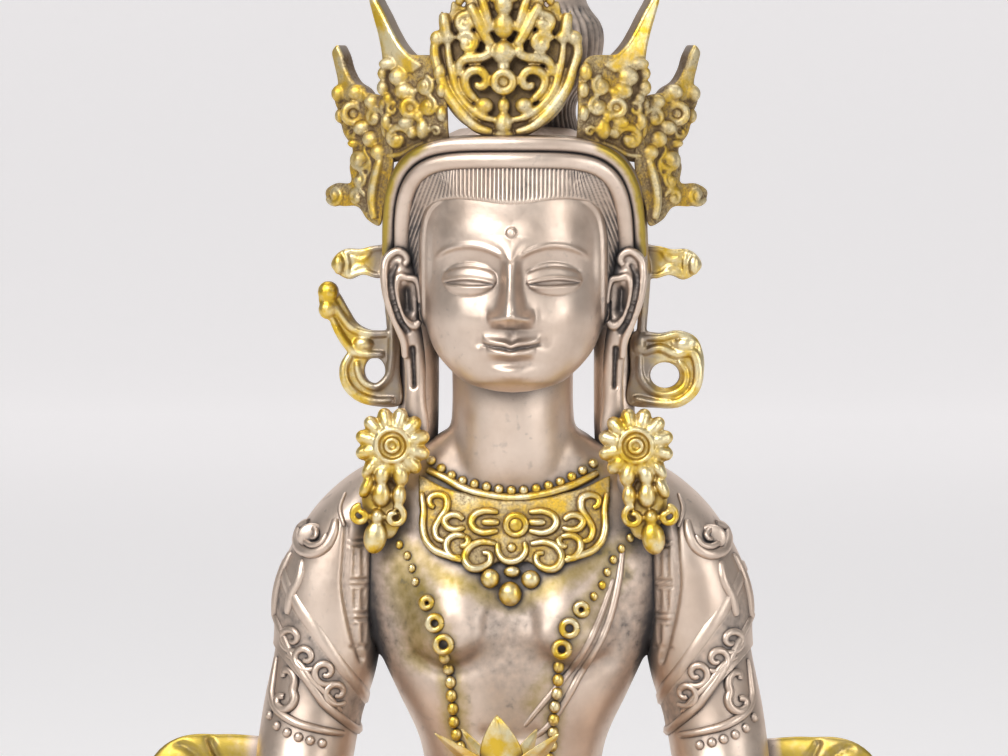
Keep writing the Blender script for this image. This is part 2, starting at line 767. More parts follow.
def stained(piece, amount):
    """Marks ground that lies between raised work, where the dark stain stays."""
    return painted(piece, "ground", amount)


STRAND = 0.72


def fringe():
    """Combed strands, STRAND wide, between the shaved edge and the inner band."""
    piece, sheet = sheet_of(520, 18)
    turn = math.pi / 2 - sheet[:, 0] * 0.54 * math.pi
    share = (sheet[:, 1] + 1) / 2
    low_x, low_z = arch_at(turn, 15.95, 170.3, 6)
    low_z = low_z - 1.2 * np.exp(-((low_x / 6.5) ** 2)) * ramp(160, 168, low_z)
    high_x, high_z = arch_at(turn, 18, 175.6, 5.5)
    x, z = low_x + (high_x - low_x) * share, low_z + (high_z - low_z) * share
    half_width, half_depth, middle = through(HEAD, low_z)
    across = np.clip(np.abs(low_x) / half_width, 0, 0.97)
    root = middle - half_depth * (1 - across**HEAD_POWER) ** (1 / HEAD_POWER)
    depth = root + (brow_depth(turn) - 0.3 - root) * share
    # strands fall straight over the brow and lean out down the temples
    strand = (np.abs(x) + 0.4 * ramp(9, 13, np.abs(x)) * (z - 170)) / STRAND
    cut = np.exp(-(((strand % 1 - 0.5) * STRAND / 0.15) ** 2)) * ramp(0.03, 0.2, share)
    lift = -0.3 + 0.75 * np.sqrt(np.clip(share / 0.12, 0, 1)) - 0.34 * cut
    move_to(piece, np.stack([x, depth - lift, z], axis=1))
    return stained(piece, 0.35 * ramp(11, 16, np.abs(x)) + 0.5 * cut)


def brow_line(half, top, power, y_shift, ends=0.06, count=61):
    """Places of a band over the brow from ear to ear, and how high each stands, from 0 to 1."""
    turn = np.linspace(ends * math.pi, (1 - ends) * math.pi, count)
    x, z = arch_at(turn, half, top, power)
    return np.stack([x, brow_depth(turn) + y_shift, z], axis=1), np.sin(turn)


def band(half, top, power, side_width, top_width, depth, y_shift, ends):
    """A band over the brow, with its widths at the sides and at the top."""
    places, high = brow_line(half, top, power, y_shift, ends)
    width = side_width + (top_width - side_width) * high**4
    rows = np.column_stack([places, np.full(len(places), depth), width])
    return limb("band", rows, 22, 110, FORWARD, rounding=0.01, power=2.6)


inner_band = band(19.05, 176.7, 5, 1.5, 1.55, 1.5, 0.2, 0.115)
outer_band = band(21.5, 179.5, 4.4, 1.15, 1.4, 1.6, 0.7, 0.1)
# gilding from the crown has run over the outer edge of the band
edge_x, _, edge_z = points_of(outer_band).T
beyond = (np.abs(edge_x / 21.8) ** 4.4 + np.abs((edge_z - BROW_LEVEL) / 26.9) ** 4.4) ** (1 / 4.4)
run_over = ramp(0.955, 1.01, beyond) * ramp(12, 16, np.abs(edge_x)) * ramp(156, 161, edge_z)
painted(outer_band, "gilding", run_over)

HAIR = [
    [142.6, 9, 6, 17],
    [146, 14, 10.4, 16.6],
    [152, 18.4, 12.4, 16],
    [158, 20.2, 13.6, 15],
    [166, 20.7, 16, 12.6],
    [171, 20, 16.8, 10.8],
    [176, 17.4, 15.6, 9.8],
    [180, 13.6, 12.2, 10],
    [183, 7.6, 8, 11],
]
SIDE_LOCK = [
    [16, 15, 152, 3, 3.4],
    [16.9, 15, 146, 2.8, 3.6],
    [16.9, 14.6, 138, 2.5, 3.5],
    [17.2, 14, 128, 2.5, 3.6],
    [18, 13.6, 119, 2.4, 3.4],
]


def locks(count, depth, low=0, high=999):
    """Strands of hair round a form, between two heights."""

    def ripple(turn, z):
        strand = (0.5 + 0.5 * np.cos(turn * count)) ** 2
        return -depth * strand * ramp(low, low + 1, z) * ramp(high, high - 0.6, z)

    return ripple


def turned(name, profile, place, around, along, **more):
    """A round form of rows [z, radius] about an upright axis at place x, y."""
    rows = [[z, radius, radius, place[1]] for z, radius in profile]
    form = stacked(name, rows, around, along, **more)
    move_to(form, points_of(form) + (place[0], 0, 0))
    return form


TOPKNOT_PLACE = (3.9, 15)
TOPKNOT = [
    [179, 8.6],
    [182, 7],
    [187, 6.8],
    [190, 9.2],
    [195, 11],
    [200.6, 10.4],
    [202.4, 9],
    [203.4, 8.4],
    [204.6, 8],
    [208.6, 5.6],
    [211.6, 2.4],
]
topknot = turned("topknot", TOPKNOT, TOPKNOT_PLACE, 200, 70, ripple=locks(40, 0.06, 178, 203))
stained(topknot, 0.7)
cap = stacked("cap", HAIR, 160, 40, 2.1, ripple=locks(48, 0.03))
hair = joined(
    "figure_hair",
    [cap, topknot, fringe(), inner_band, outer_band]
    + both_sides("lock", SIDE_LOCK, 28, 60, FORWARD),
)
move_to(hair, points_of(hair) + (HEAD_ASIDE, 0, 0))
in_place(hair, "figure")
hair.data.materials.append(white_metal)


# FIGURE, the ears: a curled rim round a deep hollow, and a stretched lobe with a slit, which widens
# down to the earring. They are cast in one with the head.
def wires(name, lines, fineness=2):
    """Round wires laid along lines, each given by its places and the wire's radius."""
    bpy.ops.object.select_all(action="DESELECT")
    bpy.ops.curve.primitive_bezier_curve_add()
    piece = bpy.context.active_object
    curve = piece.data
    curve.splines.clear()
    curve.dimensions = "3D"
    curve.bevel_depth, curve.bevel_resolution, curve.use_fill_caps = 1, fineness, True
    for places, radius in lines:
        spline = curve.splines.new("POLY")
        spline.points.add(len(places) - 1)
        spline.points.foreach_set("co", np.column_stack([places, np.ones(len(places))]).ravel())
        spline.points.foreach_set("radius", np.full(len(places), 1.0) * radius)
    bpy.ops.object.convert(target="MESH")
    piece = bpy.context.active_object
    piece.name = piece.data.name = name
    return piece


def tapered(count, radius, end=0.45):
    """A wire's radius along its way, thinner at both ends."""
    return radius * (end + (1 - end) * np.sin(np.linspace(0, math.pi, count)) ** 0.4)


def cast_over(piece, voxel, rounds):
    """Melts joined forms into one skin, as a casting has, and softens it."""
    modified(piece, "REMESH", mode="VOXEL", voxel_size=voxel)
    return modified(piece, "SMOOTH", factor=0.5, iterations=rounds)


EAR = [
    [19.7, 3.1, 161, 1.2, 1.5],
    [19.6, 2.9, 158.1, 1.4, 2.5],
    [19.2, 2.9, 153.7, 1.4, 2.9],
    [18.6, 3.4, 150.1, 1.4, 2.4],
    [17.6, 4.2, 146.3, 1.3, 2],
    [17, 4.7, 141.7, 1.2, 1.85],
    [16.9, 4.8, 135.4, 1.3, 1.85],
    [16.8, 4.6, 131.2, 1.3, 2.2],
    [16.8, 4.4, 129, 1.2, 2.1],
]
# lines of the ear seen from the front [x, z], and half their width
EAR_LINES = [
    (
        [
            (18.8, 158.7), (18.1, 159.6), (18.5, 160.6), (19.7, 161.2), (20.9, 160.7),
            (21.8, 159.6), (22.1, 157.7), (21.9, 155.1), (21.4, 152.6), (20.6, 150.3), (19.7, 148),
            (18.8, 145.5), (18.6, 142.8),
        ],
        0.78,
    ),
    (
        [
            (19.6, 157.1), (20, 155.4), (19.8, 152.6), (19, 150.7), (18.1, 149), (16.8, 148.3),
            (16, 149.3),
        ],
        0.75,
    ),
    ([(19.5, 157.2), (18.1, 156.6), (16.7, 156.4), (16.1, 154.7), (15.9, 152.2)], 0.65),
]
# hollows of the ear [x, z], half their width and their depth
EAR_HOLLOWS = [
    ([(18.1, 154.3), (18, 152.6), (17.8, 151)], 0.8, 1.7),
    (
        [(20.2, 158.7), (20.9, 157.1), (20.8, 154.3), (20.2, 151.6), (19.3, 149.1), (18.1, 147.4)],
        0.4, 0.8,
    ),
    ([(17.3, 144.4), (17.3, 141.3), (17.2, 138.1)], 0.4, 1.3),
]


def aside(places, side):
    """Places as they are for side 1, turned over for side -1."""
    return np.array(places, float) * (side, 1, 1)


EAR_TOP = 159.3  # above this the rim lies as far forward as here
ear_middle = lambda z: through([[station[2], station[0]] for station in EAR[::-1]], np.array(z))[0]
ears = joined("figure_ears", both_sides("ear", EAR, 40, 120, FORWARD))
on_ear = surface_of(ears)
ear_lines = []
for side in (-1, 1):
    for flat, radius in EAR_LINES:
        x, z = smooth_line(flat).T
        fronts = [on_ear(side * ear_middle(level), level)[0][1] for level in np.minimum(z, EAR_TOP)]
        places = np.column_stack([side * x, fronts, z])
        ear_lines.append((places, tapered(len(places), radius, 0.75)))
ears = cast_over(joined("figure_ears", [ears, wires("rims", ear_lines, 3)]), 0.26, 2)
on_ear = surface_of(ears)
for side in (-1, 1):
    for flat, reach, depth in EAR_HOLLOWS:
        carve(ears, on_front(on_ear, flat, side), reach, depth)
move_to(ears, points_of(ears) + (HEAD_ASIDE, 0, 0))
in_place(ears, "figure")
ears.data.materials.append(white_metal)


# FIGURE, the shawl: one cloth over both shoulders, cast in one with the body. Its border, the curl
# on each shoulder and the hem round each arm are chased into it with a punch.
CAPE = [
    [15, 14, 122.4, 6, 3.6],
    [20, 13.5, 120.5, 8, 5.2],
    [28, 13, 113.4, 10, 6.9],
    [31.2, 12.5, 104, 10.4, 9.2],
    [32.6, 12, 91, 9.7, 9.2],
    [35, 11.4, 82, 9.3, 9],
    [36, 11.2, 74, 9.2, 9],
]
HEM_PLACE = (34.3, 12, 85.8)
HEM_SLOPE = 1.36
ARM_DEPTH = 12.3  # y of the arm's middle where the hem goes round it


def arm_middle(z):
    """x of the middle of the upper arm at a height."""
    return 31.2 + (104 - z) * 0.17


def hem_ring(side, height, slope, count=120):
    """Places of the cloth round the arm on a slanted level: height is its z at HEM_PLACE."""
    turn = np.linspace(0, 2 * math.pi, count)
    x, z = np.full(count, HEM_PLACE[0]), np.full(count, height)
    for _ in range(8):
        x = arm_middle(z) + 10.6 * np.cos(turn)
        z = height + slope * (x - HEM_PLACE[0])
    near = np.stack([side * x, ARM_DEPTH + 10 * np.sin(turn), z], axis=1)
    return np.array([cloth_tree.find_nearest(Vector(place))[0] for place in near])


def laid(flat, radius, find, lift=0.0, gap=0.35):
    """A wire laid on a surface along places seen from the front at x, z."""
    line = smooth_line(flat, gap)
    places = np.array([find(x, z)[0] for x, z in line]) - (0, lift, 0)
    return places, tapered(len(places), radius, 0.6)


def flipped(flat, axis=0.0):
    """A flat line turned over about an upright axis."""
    return [(2 * axis - x, z) for x, z in flat]


capes = []
for side in (-1, 1):
    cape = limb("cape", [[side * s[0], *s[1:]] for s in CAPE], 126, 180, FORWARD, rounding=0.1)
    bpy.ops.object.mode_set(mode="EDIT")
    bpy.ops.mesh.select_all(action="SELECT")
    bpy.ops.mesh.bisect(
        plane_co=(side * HEM_PLACE[0], *HEM_PLACE[1:]),
        plane_no=(side * HEM_SLOPE, 0, -1),
        clear_outer=True,
        use_fill=True,
    )
    bpy.ops.object.mode_set(mode="OBJECT")
    capes.append(cape)
shawl = joined("shawl", capes)
cloth = surface_of(shawl)
cape_faces = [face.vertices[:] for face in shawl.data.polygons]
cloth_tree = BVHTree.FromPolygons([tuple(p) for p in points_of(shawl)], cape_faces)
# the strip down the front of the arm: two long lines, with level and upright strokes between them
STRIP_OUTER = [(28.2, 114), (28.4, 109), (28.6, 104), (27.9, 99.2), (26.8, 94.3), (25.8, 90.8)]
STRIP_INNER = [(23.8, 112), (23.9, 108.6), (23.9, 103.2), (24, 97), (23.2, 92)]
LEVEL_STROKES = [111.6, 110.6, 104.6, 103.6, 98.8, 97.7, 93]
UPRIGHT_STROKES = [(109.8, 105.7), (102.8, 99.8), (96.8, 94)]
strokes = [(flat, 0.5, 0.75) for flat in (STRIP_OUTER, STRIP_INNER)]
strokes += [([(24.7, z), (27.5, z + 0.1)], 0.26, 0.4) for z in LEVEL_STROKES]
strokes += [
    ([(x, high), (x, low)], 0.3, 0.42)
    for high, low in UPRIGHT_STROKES
    for x in (26.7, 25.4)
]
for side in (-1, 1):
    for flat, reach, depth in strokes:
        carve(shawl, on_front(cloth, flat, side, 0.4), reach, depth)
# the ground of the hem, between its two lines, keeps the stain
cape_x, _, cape_z = points_of(shawl).T
hem_level = cape_z - HEM_SLOPE * (np.abs(cape_x) - HEM_PLACE[0])
stained(shawl, 0.9 * ramp(86.6, 87.4, hem_level) * ramp(95.4, 94.6, hem_level))

# the curl on the shoulder, the folds beside it and the running curls of the hem
CURL_BAND = [
    (30, 115), (30.6, 112.4), (32, 110.2), (34.4, 109.2), (36.4, 109.9), (37, 111.6),
    (36.4, 113.2), (35, 114.2),
]
CURL_EYE = [
    (31.7, 112.6), (32.6, 111.1), (34.3, 110.6), (35.6, 111.4), (35.6, 112.9), (34.5, 113.5),
    (33.5, 112.9), (33.6, 112), (34.4, 111.8),
]
CURL_FOLD = [(35.8, 108), (36.3, 104.8), (37.6, 102), (38.4, 98.6)]
EDGE_FOLD = [(38, 109), (39.6, 105.4), (40.6, 101.6), (41, 97.6)]
CURL_TOP = [(28.6, 119.4), (29.4, 117), (28.6, 114)]
WAVES = [(37.7, 94.6), (35.3, 91.5), (31.9, 89), (30, 85.4)]
WAVE_STEM = [(38.6, 91.6), (36.6, 90.6), (33.9, 87.3), (31.3, 84.6), (29.3, 82)]


def sunk(places, side, depth):
    """Draws places round the arm in towards the arm's middle."""
    z = places[:, 2]
    middle = np.column_stack([side * arm_middle(z), np.full(len(z), ARM_DEPTH), z])
    out = places - middle
    return middle + out * (1 - depth / np.linalg.norm(out, axis=1))[:, None]


def wave(x, z):
    """A running curl of the hem: it leaves the lower line and winds in."""
    turn = np.linspace(-0.7 * math.pi, 1.7 * math.pi, 26)
    radius = np.linspace(2.3, 0.5, 26)
    return [(x + r * math.cos(t), z - 0.1 + r * math.sin(t)) for t, r in zip(turn, radius)]


shawl_lines = []
for side in (-1, 1):
    chased = lambda flat, radius, lift: laid([(side * x, z) for x, z in flat], radius, cloth, lift)
    shawl_lines += [
        (sunk(hem_ring(side, 86.6, 1.36), side, 0.35), 0.9),
        (sunk(hem_ring(side, 97, 1.33), side, 1.5), 1.9),
        chased(CURL_BAND, 1.15, -0.35),
        chased(CURL_EYE, 0.62, 0.55),
        chased(CURL_FOLD, 1.1, -0.55),
        chased(EDGE_FOLD, 1, -0.5),
        chased(CURL_TOP, 0.5, -0.1),
    ]
    shawl_lines += [chased(wave(x, z), 0.72, -0.1) for x, z in WAVES]
    shawl_lines.append(chased(WAVE_STEM, 0.65, -0.1))
CURL_END = (2.7, 0.75, 2.3)
curl_ends = [
    ellipsoid("curl_end", cloth(x, 112)[0] + (0, 0.4, 0), CURL_END, 24, 16)
    for x in (-34.2, 34.2)
]
shawl = joined("shawl", [shawl, wires("shawl_lines", shawl_lines)] + curl_ends)
in_place(shawl, "figure")
shawl.data.materials.append(white_metal)


# FIGURE, the ends of the shawl: they spring from behind the elbows, spread to the sides in broad
# loops and fall to the seat in folds. Their upper edges are gilded.
SHAWL_END = [
    [30, 17, 72.6, 1.2, 5],
    [42, 17, 70.2, 1.4, 5.8],
    [51, 16.6, 70.1, 1.5, 6.3],
    [57, 15.6, 69, 1.6, 6.8],
    [58.1, 14.4, 62.2, 1.6, 5.9],
    [57.4, 13.6, 53, 1.6, 5.4],
    [53.6, 14.5, 43, 1.5, 4.8],
    [53, 15.5, 35.6, 1.8, 5],
    [57.6, 13, 32.9, 2, 4.2],
]
END_FOLDS = [
    [(52.9, 75.4), (52.3, 74), (51.2, 72), (50.2, 69)],
    [(58.2, 74.9), (56.4, 74), (54.9, 72.6), (53.8, 70)],
    [(44, 67.6), (50, 66.8), (54, 65), (55.6, 61), (55.2, 53), (51.6, 43.6), (51, 36)],
    [(60.4, 68.6), (61.2, 62), (60.2, 53.4), (56.2, 43), (56, 37)],
]
ends = joined("shawl_ends", both_sides("shawl_end", SHAWL_END, 64, 170, FORWARD, rounding=0.03))
on_ends = surface_of(ends)
for side in (-1, 1):
    for fold in END_FOLDS:
        carve(ends, on_front(on_ends, fold, side, 0.5), 0.55, 0.8)
end_x, _, end_z = set_on_seat(ends).T
# the fronts of the upper edge and of the outer loop are gilded
on_loop = ramp(44.5, 47.5, np.abs(end_x)) * ramp(46, 58, end_z)
painted(ends, "gilding", on_loop * ramp(0.5, -0.1, normals_of(ends)[:, 1]))
in_place(ends, "figure")
ends.data.materials.append(white_metal)


# GILDING. The jewellery, the crown and the edges of the shawl are gilded by brush after the
# silvering, thickly in the hollows and rubbed off the high places.
gilt_metal = cast_metal(
    "gilt metal",
    bright=(0.9, 0.78, 0.49, 1),
    dull=(0.8, 0.53, 0.06, 1),
    dark=(0.25, 0.175, 0.1, 1),
    roughness=0.33,
    wear_scale=260.0,
    hollow_reach=0.003,
)


# FIGURE, the earrings: a many-petalled flower with a ringed boss at each lobe, and under it a
# cluster of drops and scrolls that lies on the shoulder.
def pebbles(name, places):
    """Copies of one small round, each given by x, y, z, three radii and a turn in the x, z plane."""
    pebble = ellipsoid("pebble", (0, 0, 0), (1, 1, 1), 12, 8)
    made = []
    for x, y, z, radius_x, radius_y, radius_z, turn in places:
        copy = pebble.copy()
        copy.data = pebble.data.copy()
        bpy.context.collection.objects.link(copy)
        place = Matrix.Rotation(turn, 4, "Y") @ Matrix.Diagonal((radius_x, radius_y, radius_z, 1))
        copy.data.transform(Matrix.Translation((x, y, z)) @ place)
        made.append(copy)
    bpy.data.objects.remove(pebble)
    return joined(name, made)


def ring(x, y, z, reach, radius, count=25):
    """The places and the radius of an upright ring of wire."""
    turn = np.linspace(0, 2 * math.pi, count)
    places = [x + reach * np.cos(turn), np.full(count, y), z + reach * np.sin(turn)]
    return np.stack(places, axis=1), radius


FLOWER_PETALS = 12
FLOWER_HEIGHT = 128
FLOWER_PLACES = ((-1, -20.2), (1, 21.4))  # side, and x of the flower's middle
# the two rows of petals: distance from the middle, half length, half width and distance back
PETAL_ROWS = ((3.9, 2, 1.25, 0.9), (5.1, 1.5, 1.3, 1.2))
# rounds of the left cluster [x, z, half width, half height, lean], seen from the front
EARRING_DROPS = [
    (-24.7, 120.8, 0.95, 1.9, 0.45),
    (-22.1, 119.5, 1.5, 2.05, 0),
    (-19.1, 119.4, 1.15, 1.8, 0),
    (-22, 122.9, 1.3, 1.8, 0.1),
    (-18.8, 122.8, 1.3, 1.8, -0.1),
    (-24.2, 123.9, 0.95, 1.7, 0.6),
    (-22.8, 115.8, 1.1, 1.3, 0),
    (-23.2, 112.2, 1.85, 2.7, 0.15),
]
EARRING_SCROLLS = [(-25.6, 116, 1.75, 1), (-19.9, 115.8, 2, -1)]  # x, z, reach and hand
SCROLL_PLACES = 44
EARRING_LAYER = 0.6  # y that the parts of an earring are set out from
MIRROR = 1.2  # sum of x of a place on the left and of its match on the right
earring_parts, earring_lines = [], []
for side, middle in FLOWER_PLACES:
    over = lambda x: x if side < 0 else MIRROR - x
    for i in range(FLOWER_PETALS):
        turn = 2 * math.pi * (i + 0.5) / FLOWER_PETALS
        for out, along, wide, back in PETAL_ROWS:
            x, z = middle + out * math.cos(turn), FLOWER_HEIGHT + out * math.sin(turn)
            earring_parts.append((x, EARRING_LAYER + back, z, along, 1.3, wide, -turn))
    for back, reach, thick in ((1.3, 3.6, 1.4), (0.6, 2.7, 1)):
        earring_parts.append((middle, EARRING_LAYER + back, FLOWER_HEIGHT, reach, thick, reach, 0))
    earring_lines += [
        ring(middle, EARRING_LAYER - 0.2, FLOWER_HEIGHT, 2.75, 0.5, 33),
        ring(middle, EARRING_LAYER - 0.5, FLOWER_HEIGHT, 1.05, 0.42),
    ]
    for x, z, half_width, half_height, lean in EARRING_DROPS:
        radii = (half_width * 1.12, 1.4, half_height * 1.08)
        earring_parts.append((over(x), EARRING_LAYER + 0.7, z, *radii, -side * lean))
    for x, z, reach, hand in EARRING_SCROLLS:
        turn = math.pi * 0.5 - side * hand * np.linspace(0, 2.2 * math.pi, SCROLL_PLACES)
        radius = np.linspace(reach, 0.3, SCROLL_PLACES)
        depth = np.full(SCROLL_PLACES, EARRING_LAYER + 0.3)
        places = [over(x) + radius * np.cos(turn), depth, z + radius * np.sin(turn)]
        earring_lines.append((np.stack(places, axis=1), 0.62))
    earring_parts.append((over(-22.2), 2.6, 118, 3.4, 1.3, 6.4, side * 0.2))
earring_forms = [pebbles("earring_parts", earring_parts), wires("earring_lines", earring_lines)]
earrings = joined("earrings", earring_forms)
cast_over(earrings, 0.24, 1)
modified(earrings, "DECIMATE", ratio=0.5)
in_place(earrings, "figure")
earrings.data.materials.append(gilt_metal)


# FIGURE, the necklace: a bead row at the root of the neck over a broad pectoral of scrolls with a
# stone at its middle. It is cast with the breast, and only its relief stands free.
skin_scaled = surface_of(body)


def on_body(x, z):
    """The body's front, in the figure's own millimetres."""
    hit, normal = skin_scaled(x * 0.001, z * 0.001)
    return hit * 1000 - (0, SEATED_BACK, 0), normal


PECTORAL_AXIS = 0.5
# how far down and up the plate reaches at each distance from its middle
PECTORAL = [
    [0, 107.7, 118.4],
    [2.4, 108.2, 118.4],
    [3.7, 107.6, 118.6],
    [5.2, 106.7, 118.8],
    [7.2, 107.1, 119.2],
    [8.2, 108.4, 119.5],
    [10.4, 108.6, 120],
    [12.8, 109.4, 120.8],
    [14.8, 111.4, 121.8],
    [15.7, 114.6, 122.2],
    [16.3, 118, 122.4],
]


def pectoral_plate():
    """The pectoral's ground, bent to the breast."""
    piece, sheet = sheet_of(110, 24)
    across = sheet[:, 0] * PECTORAL[-1][0]
    low, high = through(PECTORAL, np.abs(across))
    x, z = across + PECTORAL_AXIS, low + (high - low) * (sheet[:, 1] + 1) / 2
    y = np.array([on_body(*place)[0][1] for place in zip(x, z)])
    move_to(piece, np.stack([x, y - 0.5, z], axis=1))
    modified(piece, "SOLIDIFY", thickness=0.9, offset=0)
    return stained(piece, 0.95)


# scrolls of the left half [x, z]; the right half has the same turned over
PECTORAL_LINES = [
    [
        (-2.2, 116.5), (-4.9, 116.6), (-6.3, 115.9), (-6.8, 114.8), (-6.2, 113.7), (-4.9, 113.1),
        (-2.2, 113.4),
    ],
    [(-4.9, 114.8), (-2, 114.8)],
    [
        (-2.5, 111.2), (-4.9, 111.5), (-7, 110.6), (-7.8, 108.9), (-6.8, 107.3), (-4.9, 107.2),
        (-3.5, 108.2), (-3.6, 109.5), (-4.7, 109.7),
    ],
    [(-7.7, 112.4), (-9.4, 112.6), (-10.8, 111.7), (-10.9, 110.2), (-9.7, 108.9), (-8.5, 109)],
    [(-7.7, 112.4), (-7.2, 111.7), (-7.7, 110.8), (-8.6, 110.9)],
    [
        (-7.9, 113.9), (-9.4, 113.5), (-10.8, 113.9), (-11.4, 115), (-10.5, 115.9), (-9, 115.9),
        (-8.1, 115.2),
    ],
    [
        (-13.1, 117.2), (-13.8, 117.6), (-14, 118.7), (-12.7, 119.4), (-11.2, 118.9),
        (-11, 117.2), (-12.1, 115.4), (-13, 113.5), (-12.5, 112), (-11.2, 111.5),
    ],
    [
        (-15.4, 119.6), (-15, 116.8), (-15.1, 113.9), (-14.5, 111.7), (-13.1, 110.2),
        (-10.5, 109.2), (-8.3, 108.5),
    ],
]
PECTORAL_LOOP = [
    (-2.2, 111.3), (-2.1, 109.8), (-1.1, 108.5), (0.2, 108.2), (1.7, 108.7), (2.6, 110),
    (2.4, 111.5),
]
NECK_RIDGE = [
    (-14.4, 123.4), (-11.2, 122), (-8.3, 120.4), (-3.8, 119.2), (0.6, 118.8), (5, 119.3),
    (10.2, 120.8), (14.8, 123),
]
NECK_BEADS = [
    (-13.8, 125), (-12.6, 124.1), (-9, 121.9), (-5.1, 120.9), (1, 120.1), (6.8, 121),
    (10.4, 122.4), (14, 124.6),
]
necklace_lines = [laid(NECK_RIDGE, 0.95, on_body, 0.1), laid(PECTORAL_LOOP, 0.7, on_body, 1.05)]
for flat in PECTORAL_LINES:
    necklace_lines += [
        laid(side, 0.74, on_body, 1.05)
        for side in (flat, flipped(flat, PECTORAL_AXIS))
    ]


def on_skin_pebbles(places, lift):
    """Rounds laid on the breast at x, z, each with its two radii."""
    return [
        (x, on_body(x, z)[0][1] - lift, z, rx, 0.75 * min(rx, rz), rz, 0)
        for x, z, rx, rz in places
    ]


bead_row = smooth_line(NECK_BEADS, 2.05)
necklace_beads = on_skin_pebbles([(x, z, 0.85, 0.85) for x, z in bead_row], 0.3)
boss = on_body(0.9, 114.4)[0]
necklace_beads += [(boss[0], boss[1] - 0.8, boss[2], 1.8, 1.1, 1.8, 0)]
necklace_lines.append(ring(boss[0], boss[1] - 1.5, boss[2], 1.7, 0.6))
PENDANTS = [
    (-3.4, 105.4, 1.65, 1.7), (0.3, 106.5, 1.5, 1), (3.5, 105.3, 1.65, 1.6), (0, 102.8, 2, 2.15),
    (0.2, 110.5, 0.9, 0.9),
]
necklace_beads += on_skin_pebbles(PENDANTS, 0.9)
necklace_forms = [
    pectoral_plate(),
    wires("lines", necklace_lines),
    pebbles("beads", necklace_beads),
]
necklace = joined("necklace", necklace_forms)
in_place(necklace, "figure")
necklace.data.materials.append(gilt_metal)


# FIGURE, the chains: a string of rings and beads hangs from each earring over the breast, down to
# the vase. They are cast with the body and gilded.
CHAINS = [
    [
        (-20.7, 112.5), (-17.7, 108.8), (-16, 103.9), (-14.1, 100.8), (-12.9, 97.8),
        (-11.6, 94.4), (-11.1, 91.5), (-10.4, 88.9), (-10.2, 86), (-9.9, 83), (-9.7, 80.1),
        (-8.6, 76), (-6.6, 72),
    ],
    [
        (20.4, 112), (17.3, 108), (15.3, 103.5), (12.2, 100.3), (10.2, 97.1), (9, 93.7),
        (8.3, 90.4), (8.2, 88.1), (8, 85.9), (7.6, 83.6), (7.4, 81.1), (7, 76), (6, 72),
    ],
]
# rings of the chains [x, z, reach]
CHAIN_RINGS = [
    (-14.2, 101.2, 1.2), (-12.8, 97.9, 1.5), (-11.3, 94.3, 1.65), (12.2, 100.3, 1.3),
    (10.2, 97.2, 1.6), (8.9, 93.6, 1.55),
]
chain_beads, chain_lines = [], []
for chain in CHAINS:
    for x, z in smooth_line(chain, 2.2):
        if min(math.hypot(x - rx, z - rz) - reach for rx, rz, reach in CHAIN_RINGS) > 0.7:
            size = 0.68 if z > 95 else 0.98
            chain_beads += on_skin_pebbles([(x, z, size, size * 1.15)], 0.35)
for x, z, reach in CHAIN_RINGS:
    place = on_body(x, z)[0]
    chain_lines.append(ring(x, place[1] - 0.5, z, reach - 0.35, 0.62))
chains = joined("chest_chains", [pebbles("beads", chain_beads), wires("rings", chain_lines)])
in_place(chains, "figure")
chains.data.materials.append(gilt_metal)


# FIGURE, the tarnish of its skin: gilding from the jewels has run over the silver beside them, and
# the dull stain stays on the ground of the breast, on the flanks and at the root of the neck.
def own_frame(piece):
    """The places of a finished piece in the figure's own millimetres."""
    return points_of(piece) * 1000 - (0, SEATED_BACK, 0)


def gild(piece, lines, reach):
    """Paints how much gilding lies on each place of a piece near some lines seen from the front."""
    points = own_frame(piece)
    amount = np.zeros(len(points))
    for flat, wide, much in lines:
        near = near_line(points[:, ::2], smooth_line(flat, 1.0), wide * reach)
        amount = np.maximum(amount, much * near)
    painted(piece, "gilding", amount * (points[:, 1] < 9))


# lines that the gilding follows, how wide it lies beside each and how much of it
GILDED = [
    (CHAINS[0], 1, 0.9),
    ([(-19, 108), (-18, 102), (-16, 97), (-15.6, 92)], 1.5, 0.75),
    (CHAINS[1], 0.8, 0.75),
    ([(-16, 110), (-12, 106), (-6, 104), (0, 101.4), (6, 104), (12, 107), (16, 110)], 0.9, 0.8),
    ([(4, 84), (9, 92), (14, 99), (19, 106)], 1, 0.55),
    ([(-14, 123), (-7, 118.6), (0, 117.6), (7, 118.6), (14, 123)], 0.9, 0.8),
]
gild(body, GILDED, 2.6)
skin_x, _, skin_z = own_frame(body).T
valley = mound(skin_x, skin_z - 95, 5, 13) + mound(np.abs(skin_x) - 21, skin_z - 99, 5, 12)
root = mound(np.abs(skin_x) - 10, skin_z - 122, 4.5, 6) + 0.4 * mound(skin_x, skin_z - 82, 14, 5)
breast = ramp(119, 113, skin_z) * ramp(84, 90, skin_z)
stained(body, 0.32 * breast + 0.5 * np.clip(valley + root, 0, 1))


